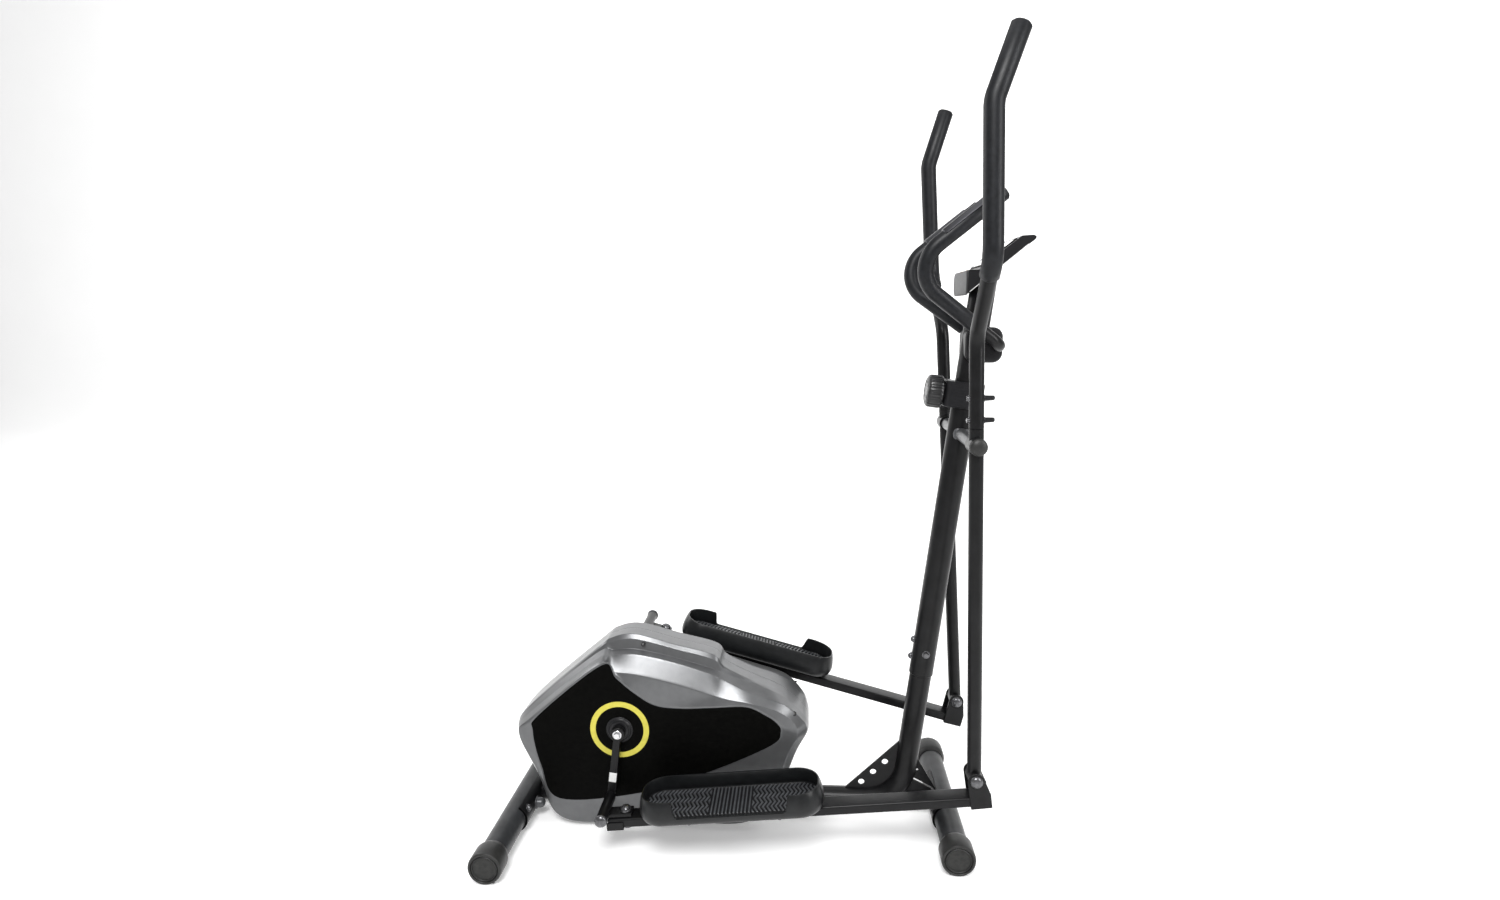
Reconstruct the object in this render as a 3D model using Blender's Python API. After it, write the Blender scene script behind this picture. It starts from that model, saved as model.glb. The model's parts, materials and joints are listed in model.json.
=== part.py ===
"""Elliptical trainer, as separate parts with real joints.

Run with: blender --background --python part.py

Units are metres. +X points to the front of the machine, where the mast and console stand, +Y to the
user's left and +Z up. The origin is on the floor, under the middle of the machine's bounding box.
Every part is one closed body, and parts that touch keep GAP between them.
"""
import bmesh
import bpy
from math import acos, asin, atan2, cos, hypot, pi, radians, sin, sqrt
from mathutils import Matrix, Vector

for old in list(bpy.data.objects):
    bpy.data.objects.remove(old, do_unlink=True)

# --------------------------------------------------------------------------- driving dimensions
GAP = 0.0003                # between parts that touch
SLEEVE_GAP = 0.0009         # between a bent bar and the foam round it, across their facets
ROUND = 16                  # facets of an ordinary round tube
LARGE_ROUND = 24            # and of the large visible ones
SIDES = {"right": -1, "left": 1}

FLOOR_TUBE_R = 0.0275       # stabiliser tubes
FLOOR_TUBE_WALL = 0.002
FOOT_CAP_R = 0.0345
FRONT_FOOT_X = 0.421
FRONT_FOOT_LENGTH = 0.425
REAR_FOOT_X = -0.520
REAR_FOOT_LENGTH = 0.574

BASE_Z = 0.034              # centre of the base tube
BASE_TUBE_R = 0.0235
BASE_TUBE_WALL = 0.0025
MAST_FOOT_X = 0.325         # where the mast's centreline would meet the floor
MAST_LEAN = 0.126           # metres forward for each metre up
MAST_BEND_R = 0.090
MAST_JOINT_Z = 0.335        # lower end of the upper mast
MAST_SPIGOT_Z = 0.450       # top of the stub inside the upper mast
MAST_TOP_Z = 1.225          # before it is cut along the underside of the console
MAST_R = 0.0258
MAST_WALL = MAST_R - BASE_TUBE_R - GAP

CRANK = Vector((-0.283, 0.0, 0.2374))
CRANK_THROW = 0.1416
CRANK_TILT = radians(7.6)   # the right crank stands this far behind straight down
CRANK_ARM_IN, CRANK_ARM_OUT = 0.1075, 0.1215
AXLE_R = 0.010

PIVOT_Z = 0.867             # swing arm pivot, on the mast's centreline
ARM_Y = 0.169               # plane of the swing arms and pedal arms
SWING_LENGTH = 0.6717       # pivot to lower joint
PEDAL_LENGTH = 0.7616       # lower joint to crank pin
ARM_TUBE_R = 0.014
ARM_TUBE_WALL = 0.0015

FLYWHEEL = Vector((-0.050, 0.0, 0.165))
FLYWHEEL_R = 0.095
PULLEY_R = 0.120
SMALL_PULLEY_R = 0.022
BELT_Y = 0.048
BELT_WIDTH = 0.013
BELT_CLEAR = 0.0006
BELT_THICK = 0.002

SHELL_SIDE_Y = 0.0955       # flat side of each half shell
SHELL_WALL = 0.0028
PANEL_THICK = 0.0020

CONSOLE_TILT = radians(39.2)
CONSOLE_FOOT = Vector((0.430, 0.0, 1.1515))   # rear end of the console's underside
CONSOLE_HALF = 0.073


def mast_at(z):
    """Point of the mast's centreline at height z."""
    return Vector((MAST_FOOT_X + MAST_LEAN * z, 0.0, z))


MAST_UP = (mast_at(1.0) - mast_at(0.0)).normalized()
MAST_ANGLE = atan2(MAST_LEAN, 1.0)


def circles_meet(a, reach_a, b, reach_b):
    """Lower of the two points at reach_a from a and reach_b from b, in the XZ plane."""
    span = Vector((b.x - a.x, 0.0, b.z - a.z))
    along = (reach_a ** 2 - reach_b ** 2 + span.length_squared) / (2 * span.length)
    off = sqrt(reach_a ** 2 - along ** 2)
    unit = span.normalized()
    return a + unit * along + Vector((unit.z, 0.0, -unit.x)) * off


def linkage(side):
    """Crank pin, swing pivot and lower joint of one side, at rest, in the arm's own plane."""
    throw = Vector((sin(CRANK_TILT), 0.0, cos(CRANK_TILT))) * CRANK_THROW * side
    pin = CRANK + throw
    pivot = mast_at(PIVOT_Z)
    joint = circles_meet(pin, PEDAL_LENGTH, pivot, SWING_LENGTH)
    plane = Vector((0.0, side * ARM_Y, 0.0))
    return pin + plane, pivot + plane, joint + plane


# --------------------------------------------------------------------------- materials
def material(name, colour, roughness, metallic=0.0):
    mat = bpy.data.materials.new(name)
    mat.use_nodes = True
    mat.diffuse_color = (*colour, 1.0)
    shader = mat.node_tree.nodes["Principled BSDF"]
    shader.inputs["Base Color"].default_value = (*colour, 1.0)
    shader.inputs["Roughness"].default_value = roughness
    shader.inputs["Metallic"].default_value = metallic
    return mat


POWDER = material("powder_coat", (0.030, 0.031, 0.034), 0.42, 0.3)
FLOOR_TUBE = material("floor_tube_coat", (0.085, 0.088, 0.092), 0.45, 0.3)
CAP_PLASTIC = material("cap_plastic", (0.045, 0.045, 0.045), 0.55)
STEEL = material("bright_steel", (0.55, 0.55, 0.57), 0.30, 1.0)
DARK_STEEL = material("dark_steel", (0.12, 0.12, 0.13), 0.40, 1.0)
CAST = material("cast_iron", (0.16, 0.16, 0.17), 0.55, 0.9)
SILVER = material("silver_plastic", (0.36, 0.37, 0.39), 0.34, 0.35)
PANEL = material("black_panel", (0.008, 0.008, 0.009), 0.30)
BLACK_PLASTIC = material("black_plastic", (0.022, 0.022, 0.024), 0.45)
LIGHT_PLASTIC = material("light_grey_plastic", (0.40, 0.41, 0.42), 0.45)
TREAD = material("tread_plastic", (0.050, 0.050, 0.052), 0.60)
FOAM = material("foam_rubber", (0.030, 0.030, 0.033), 0.85)
CHROME = material("sensor_chrome", (0.62, 0.62, 0.64), 0.15, 1.0)
BELT = material("belt_rubber", (0.015, 0.015, 0.015), 0.80)
SCREEN = material("lcd_glass", (0.16, 0.19, 0.17), 0.12)
KEY = material("key_rubber", (0.55, 0.45, 0.05), 0.60)


# --------------------------------------------------------------------------- shape tools
def circle(radius, count=ROUND):
    return [(radius * cos(2 * pi * i / count), radius * sin(2 * pi * i / count)) for i in range(count)]


def rounded_rectangle(width, height, corner, steps=3):
    """Outline of width by height, with rounded corners, anticlockwise."""
    points = []
    for quarter, (sx, sy) in enumerate(((1, 1), (-1, 1), (-1, -1), (1, -1))):
        cx, cy = sx * (width / 2 - corner), sy * (height / 2 - corner)
        for i in range(steps + 1):
            angle = pi / 2 * (quarter + i / steps)
            points.append((cx + corner * cos(angle), cy + corner * sin(angle)))
    return points


def loft(rings, closed=False):
    """Solid through rings of equal length; closed joins the last ring to the first."""
    bm = bmesh.new()
    made = [[bm.verts.new(p) for p in ring] for ring in rings]
    count = len(rings[0])
    pairs = list(zip(made, made[1:]))
    if closed:
        pairs.append((made[-1], made[0]))
    for low, high in pairs:
        for i in range(count):
            j = (i + 1) % count
            bm.faces.new((low[i], low[j], high[j], high[i]))
    if not closed:
        bm.faces.new(list(reversed(made[0])))
        bm.faces.new(made[-1])
    return bm


def path_frames(path):
    """A pair of axes across the path at each point, turning as little as possible."""
    tangents = []
    for i in range(len(path)):
        before = path[i] - path[i - 1] if i else path[1] - path[0]
        after = path[i + 1] - path[i] if i + 1 < len(path) else before
        tangents.append((before.normalized() + after.normalized()).normalized())
    across = Vector((0, 1, 0))
    if abs(tangents[0].dot(across)) > 0.9:
        across = Vector((0, 0, 1))
    frames = []
    for tangent in tangents:
        across = (across - tangent * across.dot(tangent)).normalized()
        frames.append((across, tangent.cross(across)))
    return frames


def sweep(path, section):
    """Solid bar whose section, a list of (u, v), follows the path."""
    path = [Vector(p) for p in path]
    rings = []
    for point, (u_axis, v_axis) in zip(path, path_frames(path)):
        rings.append([point + u_axis * u + v_axis * v for u, v in section])
    return loft(rings)


def fillet(points, radius, steps=6):
    """The path through points with its corners rounded by arcs."""
    points = [Vector(p) for p in points]
    path = [points[0]]
    for before, corner, after in zip(points, points[1:], points[2:]):
        a, b = (before - corner).normalized(), (after - corner).normalized()
        half = a.angle(b) / 2
        middle = corner + (a + b).normalized() * (radius / sin(half))
        start = corner + a * (radius / (sin(half) / cos(half)))
        end = corner + b * (radius / (sin(half) / cos(half)))
        for i in range(steps + 1):
            arm = (start - middle).slerp(end - middle, i / steps)
            path.append(middle + arm.normalized() * radius)
    path.append(points[-1])
    return path


def stretched(path, extra):
    """The path with both ends pushed out by extra, for a bore that cuts right through."""
    first = path[0] + (path[0] - path[1]).normalized() * extra
    last = path[-1] + (path[-1] - path[-2]).normalized() * extra
    return [first] + path[1:-1] + [last]


def turned(profile, origin=(0, 0, 0), axis=(0, 1, 0), count=ROUND):
    """Solid of revolution from (radius, distance along the axis) points, in order round the profile.

    A profile that starts and ends at radius 0 is solid; any other profile is closed round a bore.
    """
    axis = Vector(axis).normalized()
    side = Vector((0, 0, 1)) if abs(axis.z) < 0.9 else Vector((1, 0, 0))
    u_axis = (side - axis * side.dot(axis)).normalized()
    v_axis = axis.cross(u_axis)
    origin = Vector(origin)
    bm = bmesh.new()
    solid = profile[0][0] == 0
    flat_ends = [solid and profile[i][1] == profile[j][1] for i, j in ((0, 1), (-1, -2))]
    profile = profile[flat_ends[0]:len(profile) - flat_ends[1]]
    rings = []
    for radius, along in profile:
        centre = origin + axis * along
        if radius == 0:
            rings.append([bm.verts.new(centre)] * count)
            continue
        ring = circle(radius, count)
        rings.append([bm.verts.new(centre + u_axis * u + v_axis * v) for u, v in ring])
    pairs = list(zip(rings, rings[1:]))
    if not solid:
        pairs.append((rings[-1], rings[0]))
    for low, high in pairs:
        for i in range(count):
            j = (i + 1) % count
            corners = list(dict.fromkeys((low[i], low[j], high[j], high[i])))
            if len(corners) > 2:
                bm.faces.new(corners)
    for flat, ring in zip(flat_ends, (rings[0], rings[-1])):
        if flat:
            bm.faces.new(ring)
    return bm


def rod(start, end, radius, count=ROUND):
    """Plain round bar between two points."""
    start, end = Vector(start), Vector(end)
    return turned([(0, 0), (radius, 0), (radius, (end - start).length), (0, (end - start).length)],
                  start, end - start, count)


def slab(outline, low, high):
    """Plate with an outline in X and Z, between two Y values."""
    return loft([[(x, y, z) for x, z in outline] for y in (low, high)])


def block(low, high):
    (x0, y0, z0), (x1, y1, z1) = low, high
    return slab([(x0, z0), (x1, z0), (x1, z1), (x0, z1)], y0, y1)


def arc(centre, radius, start, end, steps):
    """Points (x, z) on an arc, angles in degrees from +X towards +Z."""
    turn = [radians(start + (end - start) * i / steps) for i in range(steps + 1)]
    return [(centre[0] + radius * cos(a), centre[1] + radius * sin(a)) for a in turn]


def moved(bm, matrix):
    bmesh.ops.transform(bm, matrix=matrix, verts=bm.verts)
    return bm


# --------------------------------------------------------------------------- object tools
def empty(name, location, turn_y=0.0):
    """Empty on a joint's axis, turned about Y, that carries the parts of one moving arm."""
    holder = bpy.data.objects.new(name, None)
    bpy.context.collection.objects.link(holder)
    holder.empty_display_size = 0.03
    holder.location = location
    holder.rotation_euler = (0.0, turn_y, 0.0)
    return holder


def mesh_from(bm, name):
    bmesh.ops.remove_doubles(bm, verts=bm.verts, dist=1e-6)
    bmesh.ops.recalc_face_normals(bm, faces=bm.faces)
    mesh = bpy.data.meshes.new(name)
    bm.to_mesh(mesh)
    bm.free()
    return mesh


def part(name, bm, mat, pivot=None, holder=None, weld=(), cut=()):
    """Named object from a solid, after welding on and cutting away other solids.

    The object's origin is moved to pivot, and a holder empty becomes its parent.
    """
    obj = bpy.data.objects.new(name, mesh_from(bm, name))
    bpy.context.collection.objects.link(obj)
    tools = []
    for operation, solids in (("UNION", weld), ("DIFFERENCE", cut)):
        for solid in solids:
            tool = bpy.data.objects.new("tool", mesh_from(solid, "tool"))
            bpy.context.collection.objects.link(tool)
            modifier = obj.modifiers.new("shape", "BOOLEAN")
            modifier.operation = operation
            modifier.object = tool
            tools.append(tool)
    if tools:
        bpy.context.view_layer.update()
        view = bpy.context.evaluated_depsgraph_get()
        shaped = bpy.data.meshes.new_from_object(obj.evaluated_get(view))
        obj.modifiers.clear()
        obj.data = shaped
        for tool in tools:
            bpy.data.objects.remove(tool, do_unlink=True)
    obj.data.name = name
    obj.data.materials.clear()
    obj.data.materials.append(mat)
    if pivot is not None:
        obj.data.transform(Matrix.Translation(-Vector(pivot)))
        obj.location = pivot
    obj.parent = holder
    return obj


# --------------------------------------------------------------------------- stabilisers
def stabilisers():
    cap_reach, cap_face = 0.052, 0.007
    for end, x, length in (("front", FRONT_FOOT_X, FRONT_FOOT_LENGTH),
                           ("rear", REAR_FOOT_X, REAR_FOOT_LENGTH)):
        half = length / 2 - cap_face - GAP
        centre = (x, 0.0, FOOT_CAP_R)
        inner = FLOOR_TUBE_R - FLOOR_TUBE_WALL
        tube = turned([(FLOOR_TUBE_R, -half), (FLOOR_TUBE_R, half), (inner, half), (inner, -half)], centre,
                      count=LARGE_ROUND)
        part(end + "_stabilizer", tube, FLOOR_TUBE)
        for name, side in SIDES.items():
            face = (x, side * length / 2, FOOT_CAP_R)
            inside = FLOOR_TUBE_R + GAP
            cup = [(0, 0), (FOOT_CAP_R - 0.005, 0), (FOOT_CAP_R, 0.004), (FOOT_CAP_R, 0.040),
                   (inside + 0.0020, cap_reach), (inside, cap_reach), (inside, cap_face), (0, cap_face)]
            near, far = sorted((side * (length / 2 - 0.006), side * (length / 2 - cap_reach + 0.006)))
            pad = block((x - 0.017, near, 0.0), (x + 0.017, far, 0.0050))
            part(end + "_cap_" + name, turned(cup, face, (0, -side, 0), LARGE_ROUND), CAP_PLASTIC,
                 weld=[pad])


# --------------------------------------------------------------------------- welded main frame
def saddle(x, facing, half_width):
    """Curved plate that hugs a stabiliser tube, on its side towards facing (1 front, -1 rear)."""
    middle = 0 if facing > 0 else 180
    inner = arc((x, FOOT_CAP_R), FLOOR_TUBE_R + GAP, middle - 62, middle + 62, 12)
    outer = arc((x, FOOT_CAP_R), FLOOR_TUBE_R + 0.0045, middle + 62, middle - 62, 6)
    return slab(inner + outer, -half_width, half_width)


def main_frame():
    path = fillet([mast_at(MAST_SPIGOT_Z), mast_at(BASE_Z),
                   (REAR_FOOT_X + FLOOR_TUBE_R + 0.003, 0.0, BASE_Z)], MAST_BEND_R, 6)
    plate = 0.002
    rear_gusset = slab([(0.330, 0.180), (0.199, 0.053), (0.260, 0.040), (0.340, 0.110)], -plate, plate)
    front_gusset = slab([(0.345, 0.168), (0.3385, 0.097), (0.398, 0.0655), (0.4035, 0.060), (0.407, 0.0605)],
                        -plate, plate)
    toe_gusset = slab([(0.335, 0.045), (0.341, 0.0895), (0.396, 0.0622), (0.3985, 0.056), (0.3885, 0.045)],
                      -plate, plate)
    spur = block((0.285, -0.012, 0.020), (FRONT_FOOT_X - FLOOR_TUBE_R - 0.002, 0.012, 0.049))
    bearing_r = 0.0240
    bearing_shell = turned([(0, -0.032), (bearing_r, -0.032), (bearing_r, 0.032), (0, 0.032)], CRANK)
    post = block((CRANK.x - 0.020, -0.015, BASE_Z + 0.010), (CRANK.x + 0.020, 0.015, CRANK.z - 0.010))
    foot = block((FLYWHEEL.x - 0.042, -0.027, 0.0560), (FLYWHEEL.x + 0.042, 0.069, 0.0605))
    fx, fz = FLYWHEEL.x, FLYWHEEL.z
    cheek_top = arc((fx, fz), 0.016, 0, 90, 4)
    right_cheek = slab([(fx + 0.036, 0.058)] + cheek_top
                       + [(fx - 0.090, 0.240), (fx - 0.112, 0.240), (fx - 0.112, 0.212), (fx - 0.142, 0.188),
                          (fx - 0.142, 0.180), (fx - 0.090, 0.180), (fx - 0.036, 0.058)], -0.024, -0.020)
    idler_stub = rod((IDLER.x, BELT_Y - 0.010, IDLER.z), (IDLER.x, 0.064, IDLER.z), 0.0040, 16)
    spring_seat = block((fx - 0.139, -0.0215, 0.1830), (fx - 0.116, 0.008, 0.1865))
    left_cheek = slab([(fx + 0.036, 0.058)] + cheek_top
                      + [(fx - 0.016, fz), (IDLER.x, IDLER.z + 0.012), (IDLER.x - 0.012, IDLER.z),
                         (IDLER.x, IDLER.z - 0.012), (fx - 0.036, 0.058)],
                      0.062, 0.066)
    holes = [rod((x, -0.01, z), (x, 0.01, z), 0.007, 16)
             for x, z in ((0.293, 0.123), (0.267, 0.098), (0.241, 0.073))]
    holes.append(rod((0.3645, -0.01, 0.106), (0.3645, 0.01, 0.106), 0.003, 12))
    bore = sweep(stretched(path, 0.02), circle(BASE_TUBE_R - BASE_TUBE_WALL))
    axle_way = turned([(0, -0.04), (0.0203, -0.04), (0.0203, -0.021), (0.016, -0.021), (0.016, 0.021),
                       (0.0203, 0.021), (0.0203, 0.04), (0, 0.04)], CRANK)
    flywheel_hole = rod((fx, -0.04, fz), (fx, 0.08, fz), 0.006 + GAP)
    brake_hole = rod((BRAKE_PIVOT.x, -0.04, BRAKE_PIVOT.z), (BRAKE_PIVOT.x, 0.0, BRAKE_PIVOT.z), 0.0043, 12)
    cable_hole = rod((0.034, 0.0, BASE_Z), (0.034, 0.0, 0.080), 0.0075, 12)
    part("main_frame", sweep(path, circle(BASE_TUBE_R)), POWDER,
         weld=[rear_gusset, front_gusset, toe_gusset, spur, saddle(FRONT_FOOT_X, -1, 0.075),
               saddle(REAR_FOOT_X, 1, 0.122), post, bearing_shell, foot, right_cheek, left_cheek,
               spring_seat, idler_stub],
         cut=[bore, axle_way, flywheel_hole, brake_hole, cable_hole] + holes)


# --------------------------------------------------------------------------- upper mast
def upper_mast():
    """Mast with the pivot axle and the tilted console plate welded on."""
    path = [mast_at(MAST_JOINT_Z), mast_at(MAST_TOP_Z)]
    axle_reach = ARM_Y - 0.0235 - GAP
    pivot = mast_at(PIVOT_Z)
    axle = rod(pivot - Vector((0, axle_reach, 0)), pivot + Vector((0, axle_reach, 0)), 0.0130)
    journal_reach = ARM_Y + 0.0215
    journal = rod(pivot - Vector((0, journal_reach, 0)), pivot + Vector((0, journal_reach, 0)), 0.0078)
    plate = moved(block((0.0005, -0.032, -0.0045), (0.094, 0.032, -0.0001)), console_frame())
    above = moved(block((-0.02, -0.05, -GAP), (0.20, 0.05, 0.08)), console_frame())
    bore = sweep([mast_at(MAST_JOINT_Z - 0.02), mast_at(MAST_TOP_Z + 0.02)], circle(MAST_R - MAST_WALL))
    part("upper_mast", sweep(path, circle(MAST_R)), POWDER, weld=[axle, journal, plate],
         cut=[bore, mast_window(), above])


def mast_window():
    """Opening in the back of the mast where the tension cable goes in from the knob."""
    at = mast_at(KNOB_Z)
    return rod(at, at - MAST_OUT * 0.05, 0.0075, 16)


MAST_OUT = Vector((cos(MAST_ANGLE), 0.0, -sin(MAST_ANGLE)))   # square to the mast, pointing forward
KNOB_Z = 0.946
BRAKE_PIVOT = FLYWHEEL + Vector((-0.1022, 0.0, 0.0590))
IDLER_R = 0.016


def belt_tangent():
    """Angle of the belt's two straight runs from the line of centres."""
    span = hypot(FLYWHEEL.x - CRANK.x, FLYWHEEL.z - CRANK.z)
    return acos((PULLEY_R - SMALL_PULLEY_R) / span), atan2(FLYWHEEL.z - CRANK.z, FLYWHEEL.x - CRANK.x)


def belt_outline(offset, steps):
    """Closed belt line, offset outside the pulley rims."""
    spread, line = belt_tangent()
    low, high = (line - spread) * 180 / pi, (line + spread) * 180 / pi
    small = arc((FLYWHEEL.x, FLYWHEEL.z), SMALL_PULLEY_R + offset, low, high, steps // 3)
    large = arc((CRANK.x, CRANK.z), PULLEY_R + offset, high, low + 360, steps)
    return small + large


def idler_centre():
    """Idler wheel just under the middle of the belt's lower run."""
    spread, line = belt_tangent()
    out = Vector((cos(line - spread), 0.0, sin(line - spread)))
    big, small = CRANK + out * PULLEY_R, FLYWHEEL + out * SMALL_PULLEY_R
    return big.lerp(small, 0.55) + out * (BELT_CLEAR + BELT_THICK + BELT_CLEAR + IDLER_R)


IDLER = idler_centre()


# --------------------------------------------------------------------------- hollow bars
def pipe(path, outer, inner):
    """Open-ended tube along a path; outer and inner are sections with as many points."""
    path = [Vector(p) for p in path]
    frames = path_frames(path)
    walls = []
    for section in (outer, inner):
        walls.append([[p + u_axis * u + v_axis * v for u, v in section]
                      for p, (u_axis, v_axis) in zip(path, frames)])
    return loft(walls[0] + list(reversed(walls[1])), closed=True)


# --------------------------------------------------------------------------- knob and cable
def mast_frame(z):
    """Matrix at height z on the mast: local Z up the mast, local X square to it and forward."""
    return Matrix.Translation(mast_at(z)) @ Matrix.Rotation(MAST_ANGLE, 4, "Y")


BOX_BACK = 0.047            # box face behind the mast's centreline
KNOB_R = 0.034
KNOB_END = 0.0815


def tension_control():
    here = mast_frame(KNOB_Z)
    outline = [(x - 0.0075, y) for x, y in rounded_rectangle(2 * BOX_BACK - 0.015, 0.060, 0.008)]
    box = loft([[(x, y, z) for x, y in outline] for z in (-0.0270, 0.0270)])
    bore = rod((0, 0, -0.05), (0, 0, 0.05), MAST_R + GAP)
    socket = rod((-0.06, 0, 0), (-0.01, 0, 0), 0.0058, 16)
    part("tension_box", moved(box, here), BLACK_PLASTIC, cut=[moved(bore, here), moved(socket, here)])
    lobes = 12
    rings = []
    for along, radius in ((BOX_BACK + 0.0030, 0.031), (BOX_BACK + 0.0070, KNOB_R),
                          (KNOB_END - 0.004, KNOB_R - 0.001), (KNOB_END, KNOB_R - 0.006)):
        ring = []
        for i in range(lobes * 3):
            angle = 2 * pi * i / (lobes * 3)
            reach = radius + 0.0012 * cos(lobes * angle)
            ring.append((-along, reach * cos(angle), reach * sin(angle)))
        rings.append(ring)
    collar = rod((-BOX_BACK - 0.0050, 0, 0), (-BOX_BACK - GAP, 0, 0), 0.020)
    stem = rod((-BOX_BACK - 0.012, 0, 0), (-BOX_BACK + 0.012, 0, 0), 0.0055, 16)
    part("tension_knob", moved(loft(rings), here), BLACK_PLASTIC, pivot=mast_at(KNOB_Z),
         weld=[moved(collar, here), moved(stem, here)])


def tension_cable():
    """Cable down the mast's centreline, along the base tube and up to the brake arm."""
    route = fillet([mast_at(KNOB_Z), mast_at(BASE_Z), (0.150, 0, BASE_Z)], MAST_BEND_R, 6)
    route += fillet([(0.100, 0, BASE_Z), (0.034, 0, BASE_Z), (0.034, 0, 0.110),
                     (FLYWHEEL.x + 0.108, 0, 0.160), (FLYWHEEL.x + 0.092, 0, 0.222)], 0.022, 4)
    part("tension_cable", sweep(route, circle(0.0025, 8)), BELT)


# --------------------------------------------------------------------------- fixed handlebar
HANDLE_R = 0.0125
GRIP_R = 0.0152
HANDLE_CROSS = Vector((0.4962, 0.0, 1.048))
HANDLE_LEG_Y = 0.070
HANDLE_CORNER = (0.303, 0.113, 1.194)
HANDLE_TIP = (0.482, 0.113, 1.334)


def handle_side(side, start=0.0, end=1.0):
    """Path of one handle loop, from start of its lower leg to end of its upper leg, as fractions."""
    elbow = Vector((HANDLE_CROSS.x, side * HANDLE_LEG_Y, HANDLE_CROSS.z))
    corner, tip = Vector(HANDLE_CORNER), Vector(HANDLE_TIP)
    corner.y *= side
    tip.y *= side
    return fillet([elbow.lerp(corner, start), corner, corner.lerp(tip, end)], 0.060, 5)


def fixed_handlebar():
    halves = []
    for side in SIDES.values():
        elbow = Vector((HANDLE_CROSS.x, side * HANDLE_LEG_Y, HANDLE_CROSS.z))
        leg = handle_side(side, 0.3, 0.985)
        halves.append(fillet([HANDLE_CROSS, elbow, leg[0]], 0.030, 3)[1:-1] + leg)
    right, left = halves
    bar = pipe(list(reversed(right)) + left, circle(HANDLE_R, 12), circle(HANDLE_R - 0.0015, 12))
    part("fixed_handlebar", bar, POWDER)
    for name, side in SIDES.items():
        grip = pipe(handle_side(side, 0.22, 1.0), circle(GRIP_R, 12), circle(HANDLE_R + SLEEVE_GAP, 12))
        part("fixed_grip_" + name, grip, FOAM)
        corner, tip = Vector(HANDLE_CORNER), Vector(HANDLE_TIP)
        corner.y *= side
        tip.y *= side
        face = arc((0, 0), GRIP_R + GAP, 25, 155, 8) + arc((0, 0), GRIP_R + GAP + 0.0018, 155, 25, 8)
        pad = sweep([corner.lerp(tip, 0.42), corner.lerp(tip, 0.88)], face)
        part("pulse_sensor_" + name, pad, CHROME)
    rings = []
    for shrink, y in ((0.004, -0.036), (0.0, -0.032), (0.0, 0.032), (0.004, 0.036)):
        outline = rounded_rectangle(0.074 - 2 * shrink, 0.071 - 2 * shrink, 0.020 - shrink, 4)
        rings.append([(x + 0.471, y, z + 1.0490) for x, z in outline])
    drum = loft(rings)
    mast_way = sweep(stretched([mast_at(0.9), mast_at(1.2)], 0.0), circle(MAST_R + GAP))
    bar_way = rod(HANDLE_CROSS - Vector((0, 0.06, 0)), HANDLE_CROSS + Vector((0, 0.06, 0)), HANDLE_R + GAP, 16)
    part("handlebar_clamp", drum, BLACK_PLASTIC, cut=[mast_way, bar_way])


# --------------------------------------------------------------------------- console
def console_frame():
    """Matrix with local X up the underside of the console and local Z out of its face."""
    return Matrix.Translation(CONSOLE_FOOT) @ Matrix.Rotation(-CONSOLE_TILT, 4, "Y")


def console():
    foot = CONSOLE_FOOT
    back = slab([(foot.x, foot.z), (0.5395, 1.2408), (0.5520, 1.2500), (0.5545, 1.2550), (0.5495, 1.2590),
                 (0.5270, 1.2580), (0.4480, 1.1952), (0.4286, 1.1952), (0.4286, 1.1515)],
                -CONSOLE_HALF, CONSOLE_HALF)
    keys = [(0.4380, y) for y in (-0.030, 0.030)]
    pockets = [rod((x, y, 1.1900), (x, y, 1.2100), 0.0073, 12) for x, y in keys]
    part("console_back", back, BLACK_PLASTIC, cut=pockets)
    front = slab([(0.4283, 1.1470), (0.4283, 1.1940), (0.4262, 1.1925), (0.4250, 1.1890), (0.4250, 1.1510),
                  (0.4262, 1.1475)], -CONSOLE_HALF + 0.002, CONSOLE_HALF - 0.002)
    part("console_front", front, LIGHT_PLASTIC)
    face = Matrix.Translation((0.4480, 0.0, 1.1952)) @ Matrix.Rotation(-CONSOLE_TILT + radians(0.7), 4, "Y")
    screen = slab([(0.014, GAP), (0.092, GAP), (0.090, 0.0022), (0.016, 0.0022)], -0.056, 0.056)
    part("console_screen", moved(screen, face), SCREEN)
    for (x, y), name in zip(keys, SIDES):
        key = turned([(0, 1.1924), (0.0070, 1.1924), (0.0070, 1.1962), (0.0058, 1.1972), (0, 1.1972)],
                     (x, y, 0), (0, 0, 1), 12)
        part("console_key_" + name, key, KEY, pivot=(x, y, 1.1924))


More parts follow.
